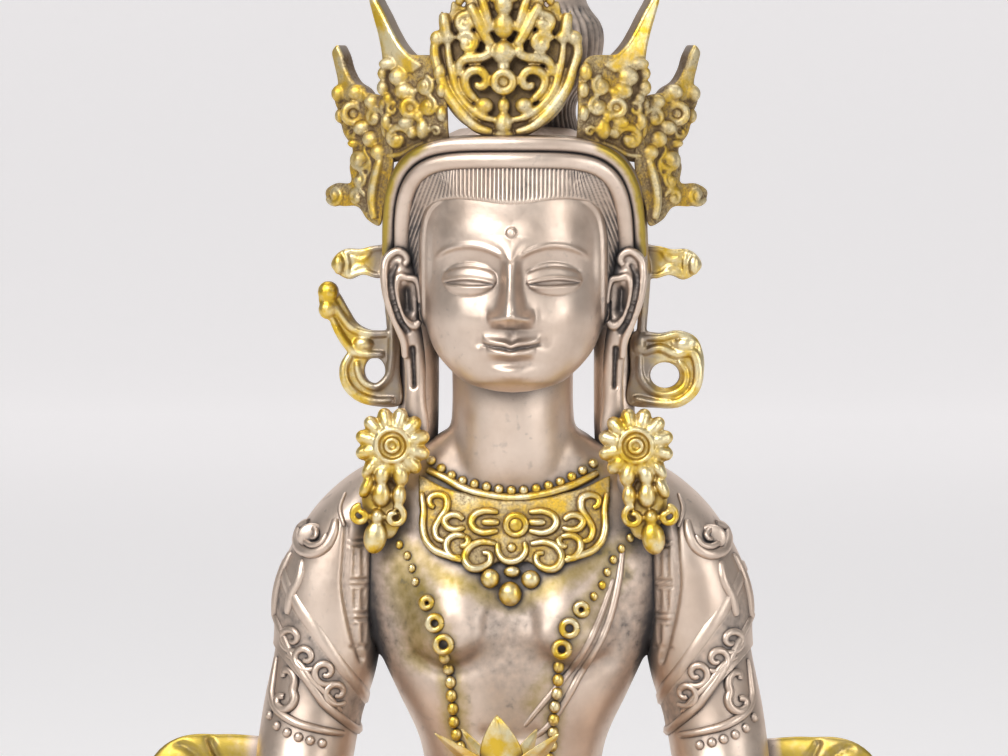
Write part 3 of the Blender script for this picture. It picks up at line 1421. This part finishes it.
# FIGURE, the sash and the armlets: two soft edges of the sash cross the breast, and each arm has a
# hooked line, a ridge and a row of beads under the shawl's hem. All are cast with the body.
SASH_OUTER = [
    (19.1, 110.6), (18.2, 104), (16.4, 97.3), (12.1, 89.4), (9.1, 84), (6.7, 80.3), (3.1, 77),
]
SASH_INNER = [(17.4, 105), (16.2, 101.4), (14, 96), (9.6, 88.8), (5.8, 84.2), (2.4, 80)]
sash_lines = [laid(SASH_OUTER, 0.85, on_body, -0.4), laid(SASH_INNER, 0.75, on_body, -0.35)]
ARM_HOOK = [
    (39.2, 87.6), (39.1, 88.6), (38.2, 88.9), (37.4, 88.2), (37.2, 86.9), (37.5, 85.6),
    (37.2, 84.4), (37.8, 82.9), (39.2, 82.2), (40.3, 83), (40, 84.3), (39, 84.4),
]
ARM_RIDGE = [
    (40.6, 90.8), (41.1, 86.9), (41.3, 84.6), (40.6, 82.5), (37.6, 80.4), (33.1, 79), (28.9, 78),
]
ARM_BEADS = [(41.6, 81), (40, 79.2), (37, 77.9), (32.4, 76.6)]
arm_beads = []
for side in (-1, 1):
    for flat, radius in ((ARM_HOOK, 0.9), (ARM_RIDGE, 0.85)):
        sash_lines.append(laid([(side * x, z) for x, z in flat], radius, on_body, 0))
    row = smooth_line(ARM_BEADS, 1.75)
    arm_beads += on_skin_pebbles([(side * x, z, 0.85, 0.85) for x, z in row], 0.1)
sash = joined("sash_and_armlets", [wires("lines", sash_lines), pebbles("beads", arm_beads)])
in_place(sash, "figure")
sash.data.materials.append(white_metal)


# FIGURE, the jewel of the topknot: a small gilded bud on a collar, cast with the knot.
JEWEL = [
    [208.4, 2],
    [209.8, 3.1],
    [211, 2.9],
    [212.6, 1.7],
    [213.8, 2.5],
    [215.2, 2.9],
    [216.8, 2.2],
    [218.4, 1.1],
    [219.7, 0.3],
]
jewel = turned("knot_jewel", JEWEL, (TOPKNOT_PLACE[0] + HEAD_ASIDE, TOPKNOT_PLACE[1]), 48, 40)
in_place(jewel, "figure")
jewel.data.materials.append(gilt_metal)


# CROWN, its five leaves. The crown is cast apart and clips over the bands of the hair. Each leaf is
# one casting of raised scrolls and bosses; the side leaves end in a tall tip. The fronts are gilded
# by brush, and the edges and the back are left bare.
CROWN_AXIS = 0.6


def plate(name, outlines, thickness, rounded, standing, shear=0.0):
    """A flat piece cut to outlines of x, z places, with rounded edges. standing gives the y of its
    middle layer at each x, z, and shear how far its back lies aside for each mm of depth."""
    bpy.ops.object.select_all(action="DESELECT")
    bpy.ops.curve.primitive_bezier_circle_add()
    piece = bpy.context.active_object
    curve = piece.data
    curve.splines.clear()
    curve.dimensions, curve.fill_mode = "2D", "BOTH"
    curve.extrude, curve.bevel_depth, curve.bevel_resolution = thickness / 2 - rounded, rounded, 2
    curve.offset = -rounded
    for outline in outlines:
        spline = curve.splines.new("POLY")
        spline.points.add(len(outline) - 1)
        flat = np.array(outline, float)
        spline.points.foreach_set("co", np.column_stack([flat, flat * 0 + (0, 1)]).ravel())
        spline.use_cyclic_u = True
    bpy.ops.object.convert(target="MESH")
    piece = bpy.context.active_object
    piece.name = piece.data.name = name
    x, z, depth = points_of(piece).T
    move_to(
        piece,
        np.stack([x + shear * (thickness / 2 - depth), standing(x, z) - depth, z], axis=1),
    )
    return piece


def closed(corners, gap=0.5):
    """A smooth closed outline through a few places."""
    rows = np.array(corners + corners[:3], float)
    way = along_way(rows)
    lap = way[len(corners)]
    keys = np.linspace(way[1], way[1] + lap, int(lap / gap) + 1)[:-1]
    return through(np.column_stack([way, rows]), keys).T


def curl(x, z, reach, start, laps, hand=1):
    """A scroll that winds in, from the turn start, in half turns, through laps whole turns."""
    turn = math.pi * start + hand * np.linspace(0, 2 * math.pi * laps, int(22 * laps) + 2)
    radius = np.linspace(reach, 0.35, len(turn))
    return [(x + r * math.cos(t), z + r * math.sin(t)) for t, r in zip(turn, radius)]


def relief(layer, lift, lines, rounds, bosses):
    """The wires, rounds and ringed bosses raised on a plate whose middle layer is given."""
    on_layer = lambda x, z: (np.array([x, layer(x, z) - lift, z]), None)
    made = [laid(flat, radius, on_layer) for flat, radius in lines]
    parts = [
        (x, layer(x, z) - lift, z, 1.2 * rx, 0.6 * min(rx, rz) + 0.4, 1.2 * rz, 0)
        for x, z, rx, rz in rounds
    ]
    for x, z, reach in bosses:
        y = layer(x, z) - lift
        made.append(ring(x, y - 0.55, z, reach * 0.68, reach * 0.36))
        parts += [
            (x, y + 0.2, z, reach, 0.9, reach, 0),
            (x, y - 0.25, z, reach * 0.25, 0.5, reach * 0.25, 0),
        ]
    return [wires("lines", made), pebbles("rounds", parts)]


def gilt_front(piece, silvered=0.0):
    """Marks the faces of a crown piece that look back or inwards as left bare. silvered adds to
    them a share of what lies near the ears."""
    normals = normals_of(piece)
    x = points_of(piece)[:, 0]
    out = np.sign(x - CROWN_AXIS) * ramp(9, 13, np.abs(x - CROWN_AXIS))
    seen = -normals[:, 1] + 0.45 * normals[:, 0] * out
    bare = ramp(0.45, 0.1, seen) + silvered * ramp(25.6, 23.6, np.abs(x))
    return painted(piece, "bare", np.clip(bare, 0, 1))


def cast_leaf(name, outline, tip, layer, lines, rounds, bosses, plain, stain):
    """One leaf of the crown. Ground lower than plain over its middle layer takes the stain."""
    parts = [plate(name, [closed(outline)], 1.2, 0.3, layer)]
    parts += relief(layer, 0.7, lines, rounds, bosses)
    if tip:
        parts.append(plate("tip", [closed(tip)], 3, 0.5, lambda x, z: layer(x, z) + 0.3, 0.55))
    leaf = modified(cast_over(joined(name, parts), 0.22, 1), "DECIMATE", ratio=0.5)
    points = points_of(leaf)
    lift = layer(points[:, 0], points[:, 2]) - points[:, 1]
    on_tip = ramp(194, 196, points[:, 2]) * (len(tip) > 0)
    return gilt_front(stained(leaf, (0.55 + stain * ramp(plain + 0.3, plain, lift)) * (1 - on_tip)))


def other_side(piece):
    """A copy of a left piece turned over to the right of the crown."""
    copy = piece.copy()
    copy.data = piece.data.copy()
    bpy.context.collection.objects.link(copy)
    copy.data.transform(Matrix.Translation((2 * CROWN_AXIS, 0, 0)) @ Matrix.Diagonal((-1, 1, 1, 1)))
    copy.data.flip_normals()
    return copy


MIDDLE_AXIS = -0.9


def middle_layer(x, z):
    """y of the middle of the middle leaf's plate, which is a little bent."""
    return -5.6 + 0.012 * (x - MIDDLE_AXIS) ** 2


# the middle leaf, with x from its axis, for one half. Raised lines are given with the radius of
# their wire, rounds as [x, z, half width, half height] and bosses as [x, z, reach].
MIDDLE_OUTLINE = [
    (0, 180.6), (3.4, 181.2), (6.8, 182.8), (9.4, 185.6), (11, 189.6), (11.8, 193), (12.3, 196),
    (12.4, 197.8), (10.8, 199), (10.6, 202), (9.4, 200.4), (8.6, 203.6), (6.8, 202.6), (5.8, 206.4),
    (4, 206.2), (2.6, 209.4), (0.6, 212),
]
MIDDLE_LINES = [
    (
        [
            (-11.6, 197), (-11.7, 195), (-11, 192), (-10, 189), (-8.4, 186.4), (-6.4, 184),
            (-4.3, 182.2), (-1.9, 181.4),
        ],
        0.85,
    ),
    (
        [
            (-9.5, 196.6), (-9.3, 194.4), (-8.7, 191.4), (-7.7, 188.2), (-5.8, 185.7),
            (-3.5, 184.1), (-1.2, 183.5),
        ],
        0.62,
    ),
    (
        [
            (-4.6, 186.9), (-6.2, 188.8), (-6.5, 190.6), (-5.5, 191.8), (-3.7, 191.8),
            (-2.9, 190.5), (-3.3, 189.3), (-4.4, 189.3), (-4.4, 190),
        ],
        0.72,
    ),
    (
        [
            (-7.4, 191), (-7.5, 192.6), (-6.9, 193.6), (-5.5, 194), (-3.5, 194.2), (-2.4, 194.8),
            (-2.5, 195.5), (-3.2, 195.6),
        ],
        0.75,
    ),
    (curl(-6.1, 196.5, 1.75, 0.9, 1.25, -1), 0.66),
    ([(-1.9, 196), (-2.8, 197.3), (-3.9, 199.4), (-5, 201.8), (-5.8, 203)], 0.85),
    (curl(-6.4, 199.8, 1.7, 0.35, 1.1, 1), 0.6),
    ([(-3.8, 204.4), (-2.9, 201.4), (-2.2, 198.4)], 0.7),
    ([(-3.6, 205.4), (-3.2, 207.4), (-1.6, 209.8), (-0.2, 211.4)], 0.7),
    ([(-9.5, 196.6), (-9.9, 199.4), (-10.2, 201.6)], 0.85),
]
MIDDLE_ROUNDS = [
    (-3.2, 186, 1.35, 1.2), (-11.2, 197.3, 1.15, 1.15), (-9.3, 197.5, 1, 1),
    (-6.2, 196.4, 0.8, 0.8), (-6.3, 199.8, 0.8, 0.7), (-1.9, 204.4, 0.6, 0.9),
    (-7.4, 204, 0.7, 1),
]
AXIS_ROUNDS = [
    (0, 206.6, 1.3, 1.8), (0, 203, 1.45, 1.8), (0, 199.4, 1.6, 1.9), (0, 194.9, 1.75, 1.8),
    (0, 192.6, 1, 1), (0, 186, 0.95, 1.2), (0, 182.9, 1.35, 1.8), (0, 181, 1.5, 0.8),
    (0, 209.2, 1, 1.4),
]
RIGHT_WIDER = 1.06


def over_axis(flat, side):
    """Places of the half leaf, set out to one side of the leaf's axis."""
    made = []
    for x, *rest in flat:
        out = side * x * (RIGHT_WIDER if side * x < 0 else 1)
        made.append((MIDDLE_AXIS - out, *rest))
    return made


middle_lines = []
for flat, radius in MIDDLE_LINES:
    middle_lines += [(over_axis(flat, side), radius * 1.32) for side in (-1, 1)]
middle_rounds = over_axis(AXIS_ROUNDS + MIDDLE_ROUNDS, -1) + over_axis(MIDDLE_ROUNDS, 1)
middle_outline = over_axis(MIDDLE_OUTLINE, -1) + over_axis(MIDDLE_OUTLINE[:0:-1], 1)
middle_relief = (middle_lines, middle_rounds, [(MIDDLE_AXIS, 190, 2.3)])
leaves = [cast_leaf("leaf", middle_outline, [], middle_layer, *middle_relief, 0.7, 0.05)]


# the leaves of the left side, seen from the front; the right ones are the same turned over
def inner_layer(x, z):
    aslant = (np.abs(x - CROWN_AXIS) - 15.8) * math.tan(0.5)
    return -2.6 + aslant + 0.3 * np.clip(183 - z, 0, None)


def outer_layer(x, z):
    return 3.4 + (np.abs(x - CROWN_AXIS) - 23.4) * math.tan(0.7)


INNER_OUTLINE = [
    (-10.4, 179.4), (-10.3, 182.6), (-10.4, 186), (-10.4, 190), (-11.8, 194), (-16.4, 194.6),
    (-20.6, 195.4), (-22, 193), (-22, 189.6), (-21.4, 186), (-21.4, 182), (-21.4, 176.4),
    (-18.4, 176.6), (-14.6, 178.4),
]
OUTER_OUTLINE = [
    (-20, 174.6), (-20.2, 182), (-20.6, 187), (-24.4, 188.2), (-29.6, 189), (-30.6, 187.4),
    (-29.7, 184.4), (-28.9, 181), (-27.4, 178.8), (-27.9, 175.4), (-27.7, 172.8), (-30.4, 172.6),
    (-32.3, 171.2), (-31.8, 169.4), (-29.4, 168.7), (-26.4, 168.6), (-24.6, 166.4), (-22.6, 165.4),
    (-21.6, 169),
]
INNER_TIP = [
    (-24.6, 206.4), (-24.4, 204.2), (-23.6, 201), (-22.8, 198.2), (-22.2, 195.4), (-21.6, 192.4),
    (-18, 191.4), (-14.8, 192.8), (-17.2, 194.6), (-18.8, 196.4), (-20.1, 198.6), (-21.5, 201.4),
    (-23, 204.2), (-23.9, 206.4),
]
OUTER_TIP = [
    (-31.2, 195.4), (-30.3, 196.4), (-29.4, 195), (-28.4, 192), (-27.2, 190), (-25.4, 188.8),
    (-24.4, 187.2), (-27.2, 186.2), (-29.6, 187.4), (-30.3, 190.8), (-30.9, 193.3),
]
INNER_LINES = [
    (curl(-14.3, 189.3, 1.65, 0.5, 1.25, -1), 0.66),
    (curl(-13.8, 185.9, 1.65, 0.5, 1.2, -1), 0.66),
    (curl(-19.9, 185.4, 1.15, 0.3, 1, 1), 0.52),
    (curl(-19, 180.4, 2.3, 0, 1.2), 0.8),
    (curl(-16.4, 192.4, 1, 0, 1), 0.5),
    (curl(-12.4, 181.6, 0.9, 1, 1, -1), 0.5),
    ([(-21.2, 177.4), (-18.8, 177.6), (-16, 179), (-13.4, 179.8), (-11.4, 180)], 0.6),
]
INNER_ROUNDS = [
    (-20.2, 193, 1.9, 1),
    (-18.6, 190.8, 1.75, 1.45),
    (-17.6, 188.4, 1.75, 1.35),
    (-21.6, 191.4, 0.9, 1),
    (-21.5, 189, 1.1, 1.2),
    (-20.6, 187.2, 0.9, 0.9),
    (-14.3, 189.3, 0.8, 0.8),
    (-13.8, 185.9, 0.8, 0.8),
    (-14.5, 182, 1.2, 1.7),
    (-16.3, 181.4, 1.05, 1.05),
    (-19.2, 180.2, 0.9, 0.9),
    (-17.3, 183.1, 1.5, 1),
    (-15.4, 184.2, 0.9, 0.8),
    (-21, 183.3, 0.9, 1.2),
    (-11.7, 191.6, 1, 1.3),
    (-11.3, 188.6, 0.9, 1.2),
    (-11.4, 184.6, 0.8, 1.2),
    (-16.4, 188.2, 0.8, 0.8),
]
OUTER_LINES = [
    (curl(-23.2, 183.9, 1.75, 0, 1.2), 0.66),
    (curl(-27.6, 181.4, 1.1, 0.5, 1, -1), 0.52),
    (curl(-25.9, 176.8, 1.85, 0, 1.2, -1), 0.7),
    (curl(-26, 173.2, 1.35, 0.5, 1, -1), 0.6),
    (curl(-30.4, 170.6, 1.6, 1.1, 1.1), 0.7),
    (curl(-26.4, 170.3, 1.5, 0, 1.1), 0.62),
    ([(-22.2, 176.8), (-22.8, 174.4), (-23.4, 171.6), (-23.5, 169), (-23.1, 166.6)], 1.15),
    ([(-24.6, 179.4), (-25, 178.8), (-23.9, 176), (-24.4, 174)], 0.5),
]
OUTER_ROUNDS = [
    (-29.6, 188, 1.3, 1.3),
    (-26.3, 188.2, 1.6, 1.2),
    (-23.4, 186.6, 1.5, 1.1),
    (-21.4, 186.2, 0.9, 1),
    (-29.4, 184.2, 0.95, 1.1),
    (-25.2, 182.1, 1.6, 1.2),
    (-23.6, 180.2, 1.6, 1.3),
    (-22.3, 178, 1.45, 1.2),
    (-26.8, 179.5, 1.2, 0.7),
    (-26, 176.8, 0.9, 0.9),
    (-26, 173.2, 0.7, 0.7),
    (-30.4, 170.6, 0.8, 0.8),
    (-26.4, 170.3, 0.6, 0.6),
    (-23.2, 183.9, 0.75, 0.75),
    (-21.2, 182.4, 0.8, 1.8),
]
inner_relief = (INNER_LINES, INNER_ROUNDS, [(-16.9, 185.6, 1.85)])
outer_relief = (OUTER_LINES, OUTER_ROUNDS, [(-27.1, 184.6, 2.2)])
for side_leaf in (
    cast_leaf("leaf", INNER_OUTLINE, INNER_TIP, inner_layer, *inner_relief, 0.85, 0.8),
    cast_leaf("leaf", OUTER_OUTLINE, OUTER_TIP, outer_layer, *outer_relief, 0.95, 0.8),
):
    leaves += [side_leaf, other_side(side_leaf)]
crown_leaves = joined("crown_leaves", leaves)
in_place(crown_leaves, "crown")
crown_leaves.data.materials.append(gilt_metal)


# CROWN, its hoop and ribbons: a hoop behind the outer band, a narrow strap down behind each ear, a
# knotted bow over each ear and, at the lobes, the ribbon's loose end drawn into an open loop.
STRAP = [(-22, 9.2, 161), (-22.3, 10.6, 157), (-22, 12.4, 152), (-21.5, 13, 146), (-21.2, 13, 137)]
BOW = [
    (-20.6, 162.2), (-23.7, 161.8), (-26.2, 161.3), (-28.8, 161.3), (-30.4, 160.4), (-31.4, 158.4),
    (-30, 156.8), (-28.3, 156), (-25.5, 156.9), (-23, 156.2), (-20.6, 156.6),
]
BOW_LINES = [
    ([(-28.9, 161), (-28.4, 158.8), (-28.6, 156.4)], 0.45),
    ([(-28.2, 161), (-26.2, 160.8), (-24.2, 161.3), (-21.4, 161.6)], 0.55),
    ([(-27.8, 160), (-26, 159.4), (-24.4, 160.8)], 0.4),
    ([(-28, 156.6), (-25.6, 157.3), (-23.4, 156.7), (-21.4, 157)], 0.55),
    ([(-27.9, 157.2), (-26.3, 158.4), (-24.4, 157.2)], 0.4),
]
BOW_ROUNDS = [(-30, 158.6, 0.9, 1.5)]
bow_layer = lambda x, z: 11.6 + 0 * x
TAILED = [
    (-20.6, 147), (-24.5, 147.2), (-26.6, 148.2), (-28.4, 150.8), (-30.2, 153.8), (-32, 155.4),
    (-33.4, 154.2), (-33.5, 151.6), (-32.6, 149.6), (-31, 148), (-29.8, 145.8), (-28.4, 144),
    (-28.9, 142.4), (-30, 140.6), (-29.6, 137.6), (-27.2, 135), (-23.4, 133.9), (-19.6, 134.2),
    (-19.6, 140),
]
TAILED_LINES = [
    ([(-31.4, 152.6), (-29.6, 149.6), (-27.6, 147.4), (-25, 146.6), (-21.4, 146.6)], 0.8),
    ([(-31.4, 149.6), (-30.2, 147), (-28.8, 144.8), (-27.4, 143.4), (-25, 143), (-22.4, 143)], 0.8),
    (
        [
            (-21, 150), (-20.9, 146), (-21, 142), (-21.7, 139), (-23.6, 137.4), (-25.8, 138.2),
            (-26.8, 140), (-27, 141.8),
        ],
        0.75,
    ),
    (
        [(-28.2, 143), (-29.2, 140.8), (-28.8, 138), (-26.9, 135.9), (-24, 134.9), (-20.6, 135)],
        0.95,
    ),
]
TAILED_ROUNDS = [(-31.9, 153.8, 1.6, 1.6), (-32, 150.8, 1.4, 1.5), (-25.9, 144.8, 1.5, 1.1)]
FLAPPED = [
    (21, 147), (25.4, 146.8), (29, 147.2), (31.6, 146), (32.8, 143.4), (32.9, 139.6), (31.8, 136.2),
    (28.8, 134), (24.4, 133.8), (19.8, 134.6), (20.2, 140),
]
FLAPPED_LINES = [
    ([(21.4, 146.2), (25.4, 146), (28.6, 146.6), (31.2, 145.4)], 0.75),
    (
        [
            (22.4, 143.4), (25.4, 144.2), (28, 143.2), (31, 143.4), (32, 140.6), (31.4, 137.2),
            (28.8, 134.9), (25, 134.7), (21, 135.4),
        ],
        0.95,
    ),
    (
        [
            (21.8, 143), (22.2, 138.8), (24.6, 136.5), (27.4, 136.3), (29.6, 137.7),
            (29.9, 140.2), (28.6, 142),
        ],
        0.75,
    ),
    ([(27.4, 145.2), (29, 144.2), (31.4, 145.4)], 0.6),
]
FLAPPED_ROUNDS = [(29.6, 144.8, 1.6, 1.1), (21.8, 144.8, 1, 1.7)]
ribbon_layer = lambda x, z: 13 + 0 * x


def hole(x, z, reach, rise):
    """An oval outline, for an opening in a plate."""
    turn = np.linspace(0, 2 * math.pi, 21)[:-1]
    return [(x + reach * math.cos(t), z + rise * math.sin(t)) for t in turn]


ribbons = [
    plate("tail", [closed(TAILED), hole(-23.9, 140.2, 1.75, 2.2)], 1.8, 0.5, ribbon_layer),
    plate("flap", [closed(FLAPPED), hole(26.2, 139.5, 2.5, 2.2)], 1.8, 0.5, ribbon_layer),
]
for ribbon_lines, ribbon_rounds in ((TAILED_LINES, TAILED_ROUNDS), (FLAPPED_LINES, FLAPPED_ROUNDS)):
    ribbons += relief(ribbon_layer, 0.8, ribbon_lines, ribbon_rounds, [])
bow_parts = [plate("bow", [closed(BOW)], 2, 0.5, bow_layer)]
bow = joined("bow", bow_parts + relief(bow_layer, 0.9, BOW_LINES, BOW_ROUNDS, []))
ribbons += [bow, other_side(bow)]
hoop, _ = brow_line(22, 180.2, 4.4, 2.4)
straps = [(smooth_line(aside(STRAP, -side) + (CROWN_AXIS, 0, 0)), 0.9) for side in (-1, 1)]
ribbons.append(wires("straps", straps + [(hoop + (CROWN_AXIS, 0, 0), 0.9)]))
crown_ribbons = modified(
    cast_over(joined("crown_ribbons", ribbons), 0.24, 1),
    "DECIMATE",
    ratio=0.5,
)
gilt_front(crown_ribbons, silvered=0.8)
in_place(crown_ribbons, "crown")
crown_ribbons.data.materials.append(gilt_metal)


# VASE. A small vase set on the open hands: a footed bulb with a collar of beads, out of whose
# neck rises a tuft of pointed leaves. It is cast apart, gilded all over and fixed in the hands.
VASE_PLACE = (0, -22)
VASE_PROFILE = [
    [57.8, 4.3],
    [58.6, 4.4],
    [60, 2.8],
    [62.4, 5.2],
    [65.8, 6.9],
    [68.8, 5.8],
    [71, 2.9],
    [72.8, 3.6],
    [74.2, 4.5],
    [74.8, 3.6],
]


def lobes(turn, z):
    """Twelve upright swellings round the bulb."""
    return 0.07 * np.abs(np.cos(turn * 6)) * ramp(61, 63, z) * (1 - ramp(69, 70.6, z))


vase = turned("vase_and_leaves", VASE_PROFILE, VASE_PLACE, 96, 60, rounding=0.02, ripple=lobes)
MOUTH = 73  # height that the leaves spring from
TUFT_ASIDE = -1.3  # mm that the tuft stands to the figure's right
# [turn from the front, how far it leans out, height of its tip, half width, how far forward]
LEAVES = [
    (0, 0.4, 84.8, 3.7, 0.6),
    (-1.2, 9.6, 82, 2.7, 0.4),
    (1.2, 9.6, 82, 2.7, 0.4),
    (-2.3, 7, 81.6, 2.9, 0),
    (2.3, 7, 81.6, 2.9, 0),
    (3.14, 3, 83, 3, 0),
]


def leaf_blade(turn_at, spread, top, width, forward):
    """A pointed leaf with a raised rib, which leans out as it rises."""

    def shape(turn, share):
        outline = np.clip(np.sin(share**0.72 * math.pi), 0, 1) ** 0.85
        across = width * outline * np.cos(turn)
        rib = 0.9 * (1 - np.abs(np.cos(turn))) + 0.18
        thick = rib * np.sin(share * math.pi) ** 0.4 * np.sign(np.sin(turn) + 1e-9)
        out = 1.6 + spread * share**1.3
        # the blade is turned less to the side than it leans
        side, ahead = math.sin(turn_at * 0.4), math.cos(turn_at * 0.4)
        middle = VASE_PLACE[0] + TUFT_ASIDE * share
        x = middle + math.sin(turn_at) * out - side * thick * 0.7 + ahead * across
        y = VASE_PLACE[1] - math.cos(turn_at) * out + ahead * thick * 0.7 - forward + side * across
        return x, y, MOUTH + (top - MOUTH) * share

    return ball_form("leaf", 28, 32, shape)


COLLAR_BEADS = 18
# the two rows of beads: distance from the axis, height, and a bead's two radii
BEAD_ROWS = ((4.2, 74.4, 0.8, 0.7), (3, 71.2, 0.55, 0.5))
vase_beads = []
for i in range(COLLAR_BEADS):
    turn = 2 * math.pi * i / COLLAR_BEADS
    for out, z, wide, high in BEAD_ROWS:
        y = VASE_PLACE[1] + out * math.sin(turn)
        vase_beads.append((out * math.cos(turn), y, z, wide, wide, high, 0))
blades = [leaf_blade(*leaf) for leaf in LEAVES]
vase = joined("vase_and_leaves", [vase, pebbles("beads", vase_beads)] + blades)
in_place(vase, "vase")
vase.data.materials.append(gilt_metal)


# STAGE. A pale sweep of paper. The large soft key light stands over the camera's left shoulder, a
# weak fill at its right, and a broad top light hangs above and behind the statue.
FLOOR_FRONT = -2.4  # metres in y
FLOOR_BACK = 2.3
WALL_RADIUS = 0.5
WALL_HEIGHT = 2.6
HALF_WIDTH = 3
# light of its own that the paper has: more and more from y = GLOW_STARTS to GLOW_ENDS, so that
# its far end stays pale
GLOW_STARTS = 0.1
GLOW_ENDS = 1.9
NEAR_GLOW = (0.04, 0.04, 0.04, 1)
FAR_GLOW = (0.41, 0.97 * 0.41, 0.98 * 0.41, 1)


def stage_sweep():
    """A floor that curves up into a wall, far enough back for a camera behind the statue."""
    floor, sheet = sheet_of(1, 120)
    floor.name = floor.data.name = "stage_floor"
    flat, bend = FLOOR_BACK - FLOOR_FRONT, WALL_RADIUS * math.pi / 2
    way = (sheet[:, 1] + 1) / 2 * (flat + bend + WALL_HEIGHT)
    turn = np.clip((way - flat) / bend, 0, 1) * math.pi / 2
    y = FLOOR_FRONT + np.minimum(way, flat) + WALL_RADIUS * np.sin(turn)
    z = WALL_RADIUS * (1 - np.cos(turn)) + np.clip(way - flat - bend, 0, None) - 0.0005
    move_to(floor, np.stack([sheet[:, 0] * HALF_WIDTH, y, z], axis=1))
    bpy.ops.object.shade_smooth()
    paper = bpy.data.materials.new("paper")
    paper.use_nodes = True
    shader = paper.node_tree.nodes["Principled BSDF"]
    start = Wire(paper.node_tree, None)
    place = start.node("ShaderNodeTexCoord", out=3)
    back = start.node("ShaderNodeSeparateXYZ", place, out=1).between(GLOW_STARTS, GLOW_ENDS)
    back = back.maths("POWER", back, 0.45)
    tones = {0: back, 6: NEAR_GLOW, 7: FAR_GLOW}
    glow = start.node("ShaderNodeMix", tones, data_type="RGBA", out=2)
    paper.node_tree.links.new(glow.socket, shader.inputs["Emission Color"])
    shader.inputs["Emission Strength"].default_value = 1.0
    shader.inputs["Base Color"].default_value = (0.8, 0.79, 0.79, 1)
    shader.inputs["Roughness"].default_value = 0.9
    floor.data.materials.append(paper)


stage_sweep()


def soft_light(name, place, size, power, aim=(0, 0, 0.13)):
    """A rectangular light turned to the statue's breast."""
    bpy.ops.object.light_add(type="AREA", location=place)
    light = bpy.context.active_object
    light.name = name
    light.data.shape = "RECTANGLE"
    light.data.size, light.data.size_y = size
    light.data.energy = power
    light.rotation_euler = (Vector(aim) - Vector(place)).to_track_quat("-Z", "Y").to_euler()


soft_light("key_light", (-0.4, -0.85, 0.7), (0.75, 0.55), 9)
soft_light("fill_light", (0.75, -0.65, 0.35), (0.35, 0.6), 2.2)
soft_light("top_light", (0, 0.15, 1.1), (0.9, 0.7), 4)

world = bpy.data.worlds.new("studio")
world.use_nodes = True
world.node_tree.nodes["Background"].inputs["Color"].default_value = (0.93, 0.93, 0.94, 1)
world.node_tree.nodes["Background"].inputs["Strength"].default_value = 0.3
bpy.context.scene.world = world
bpy.context.scene.view_settings.view_transform = "Standard"

CAMERA_DISTANCE = 0.9
CAMERA_AIM = Vector((-0.001, 0.004, 0.1397))
CAMERA_AZIMUTH = math.radians(2.2)
CAMERA_ELEVATION = math.radians(3)
PICTURE_WIDTH = 0.1714  # width of the view at the aim
SENSOR_WIDTH = 36  # mm
bpy.ops.object.camera_add()
camera = bpy.context.active_object
camera.name = "camera"
level = math.cos(CAMERA_ELEVATION)
across, ahead = math.sin(CAMERA_AZIMUTH) * level, math.cos(CAMERA_AZIMUTH) * level
backwards = Vector((across, -ahead, math.sin(CAMERA_ELEVATION)))
camera.location = CAMERA_AIM + backwards * CAMERA_DISTANCE
camera.rotation_euler = (-backwards).to_track_quat("-Z", "Y").to_euler()
camera.data.sensor_width = SENSOR_WIDTH
camera.data.lens = SENSOR_WIDTH * CAMERA_DISTANCE / PICTURE_WIDTH
camera.data.clip_start = 0.01
camera.data.clip_end = 20
bpy.context.scene.camera = camera
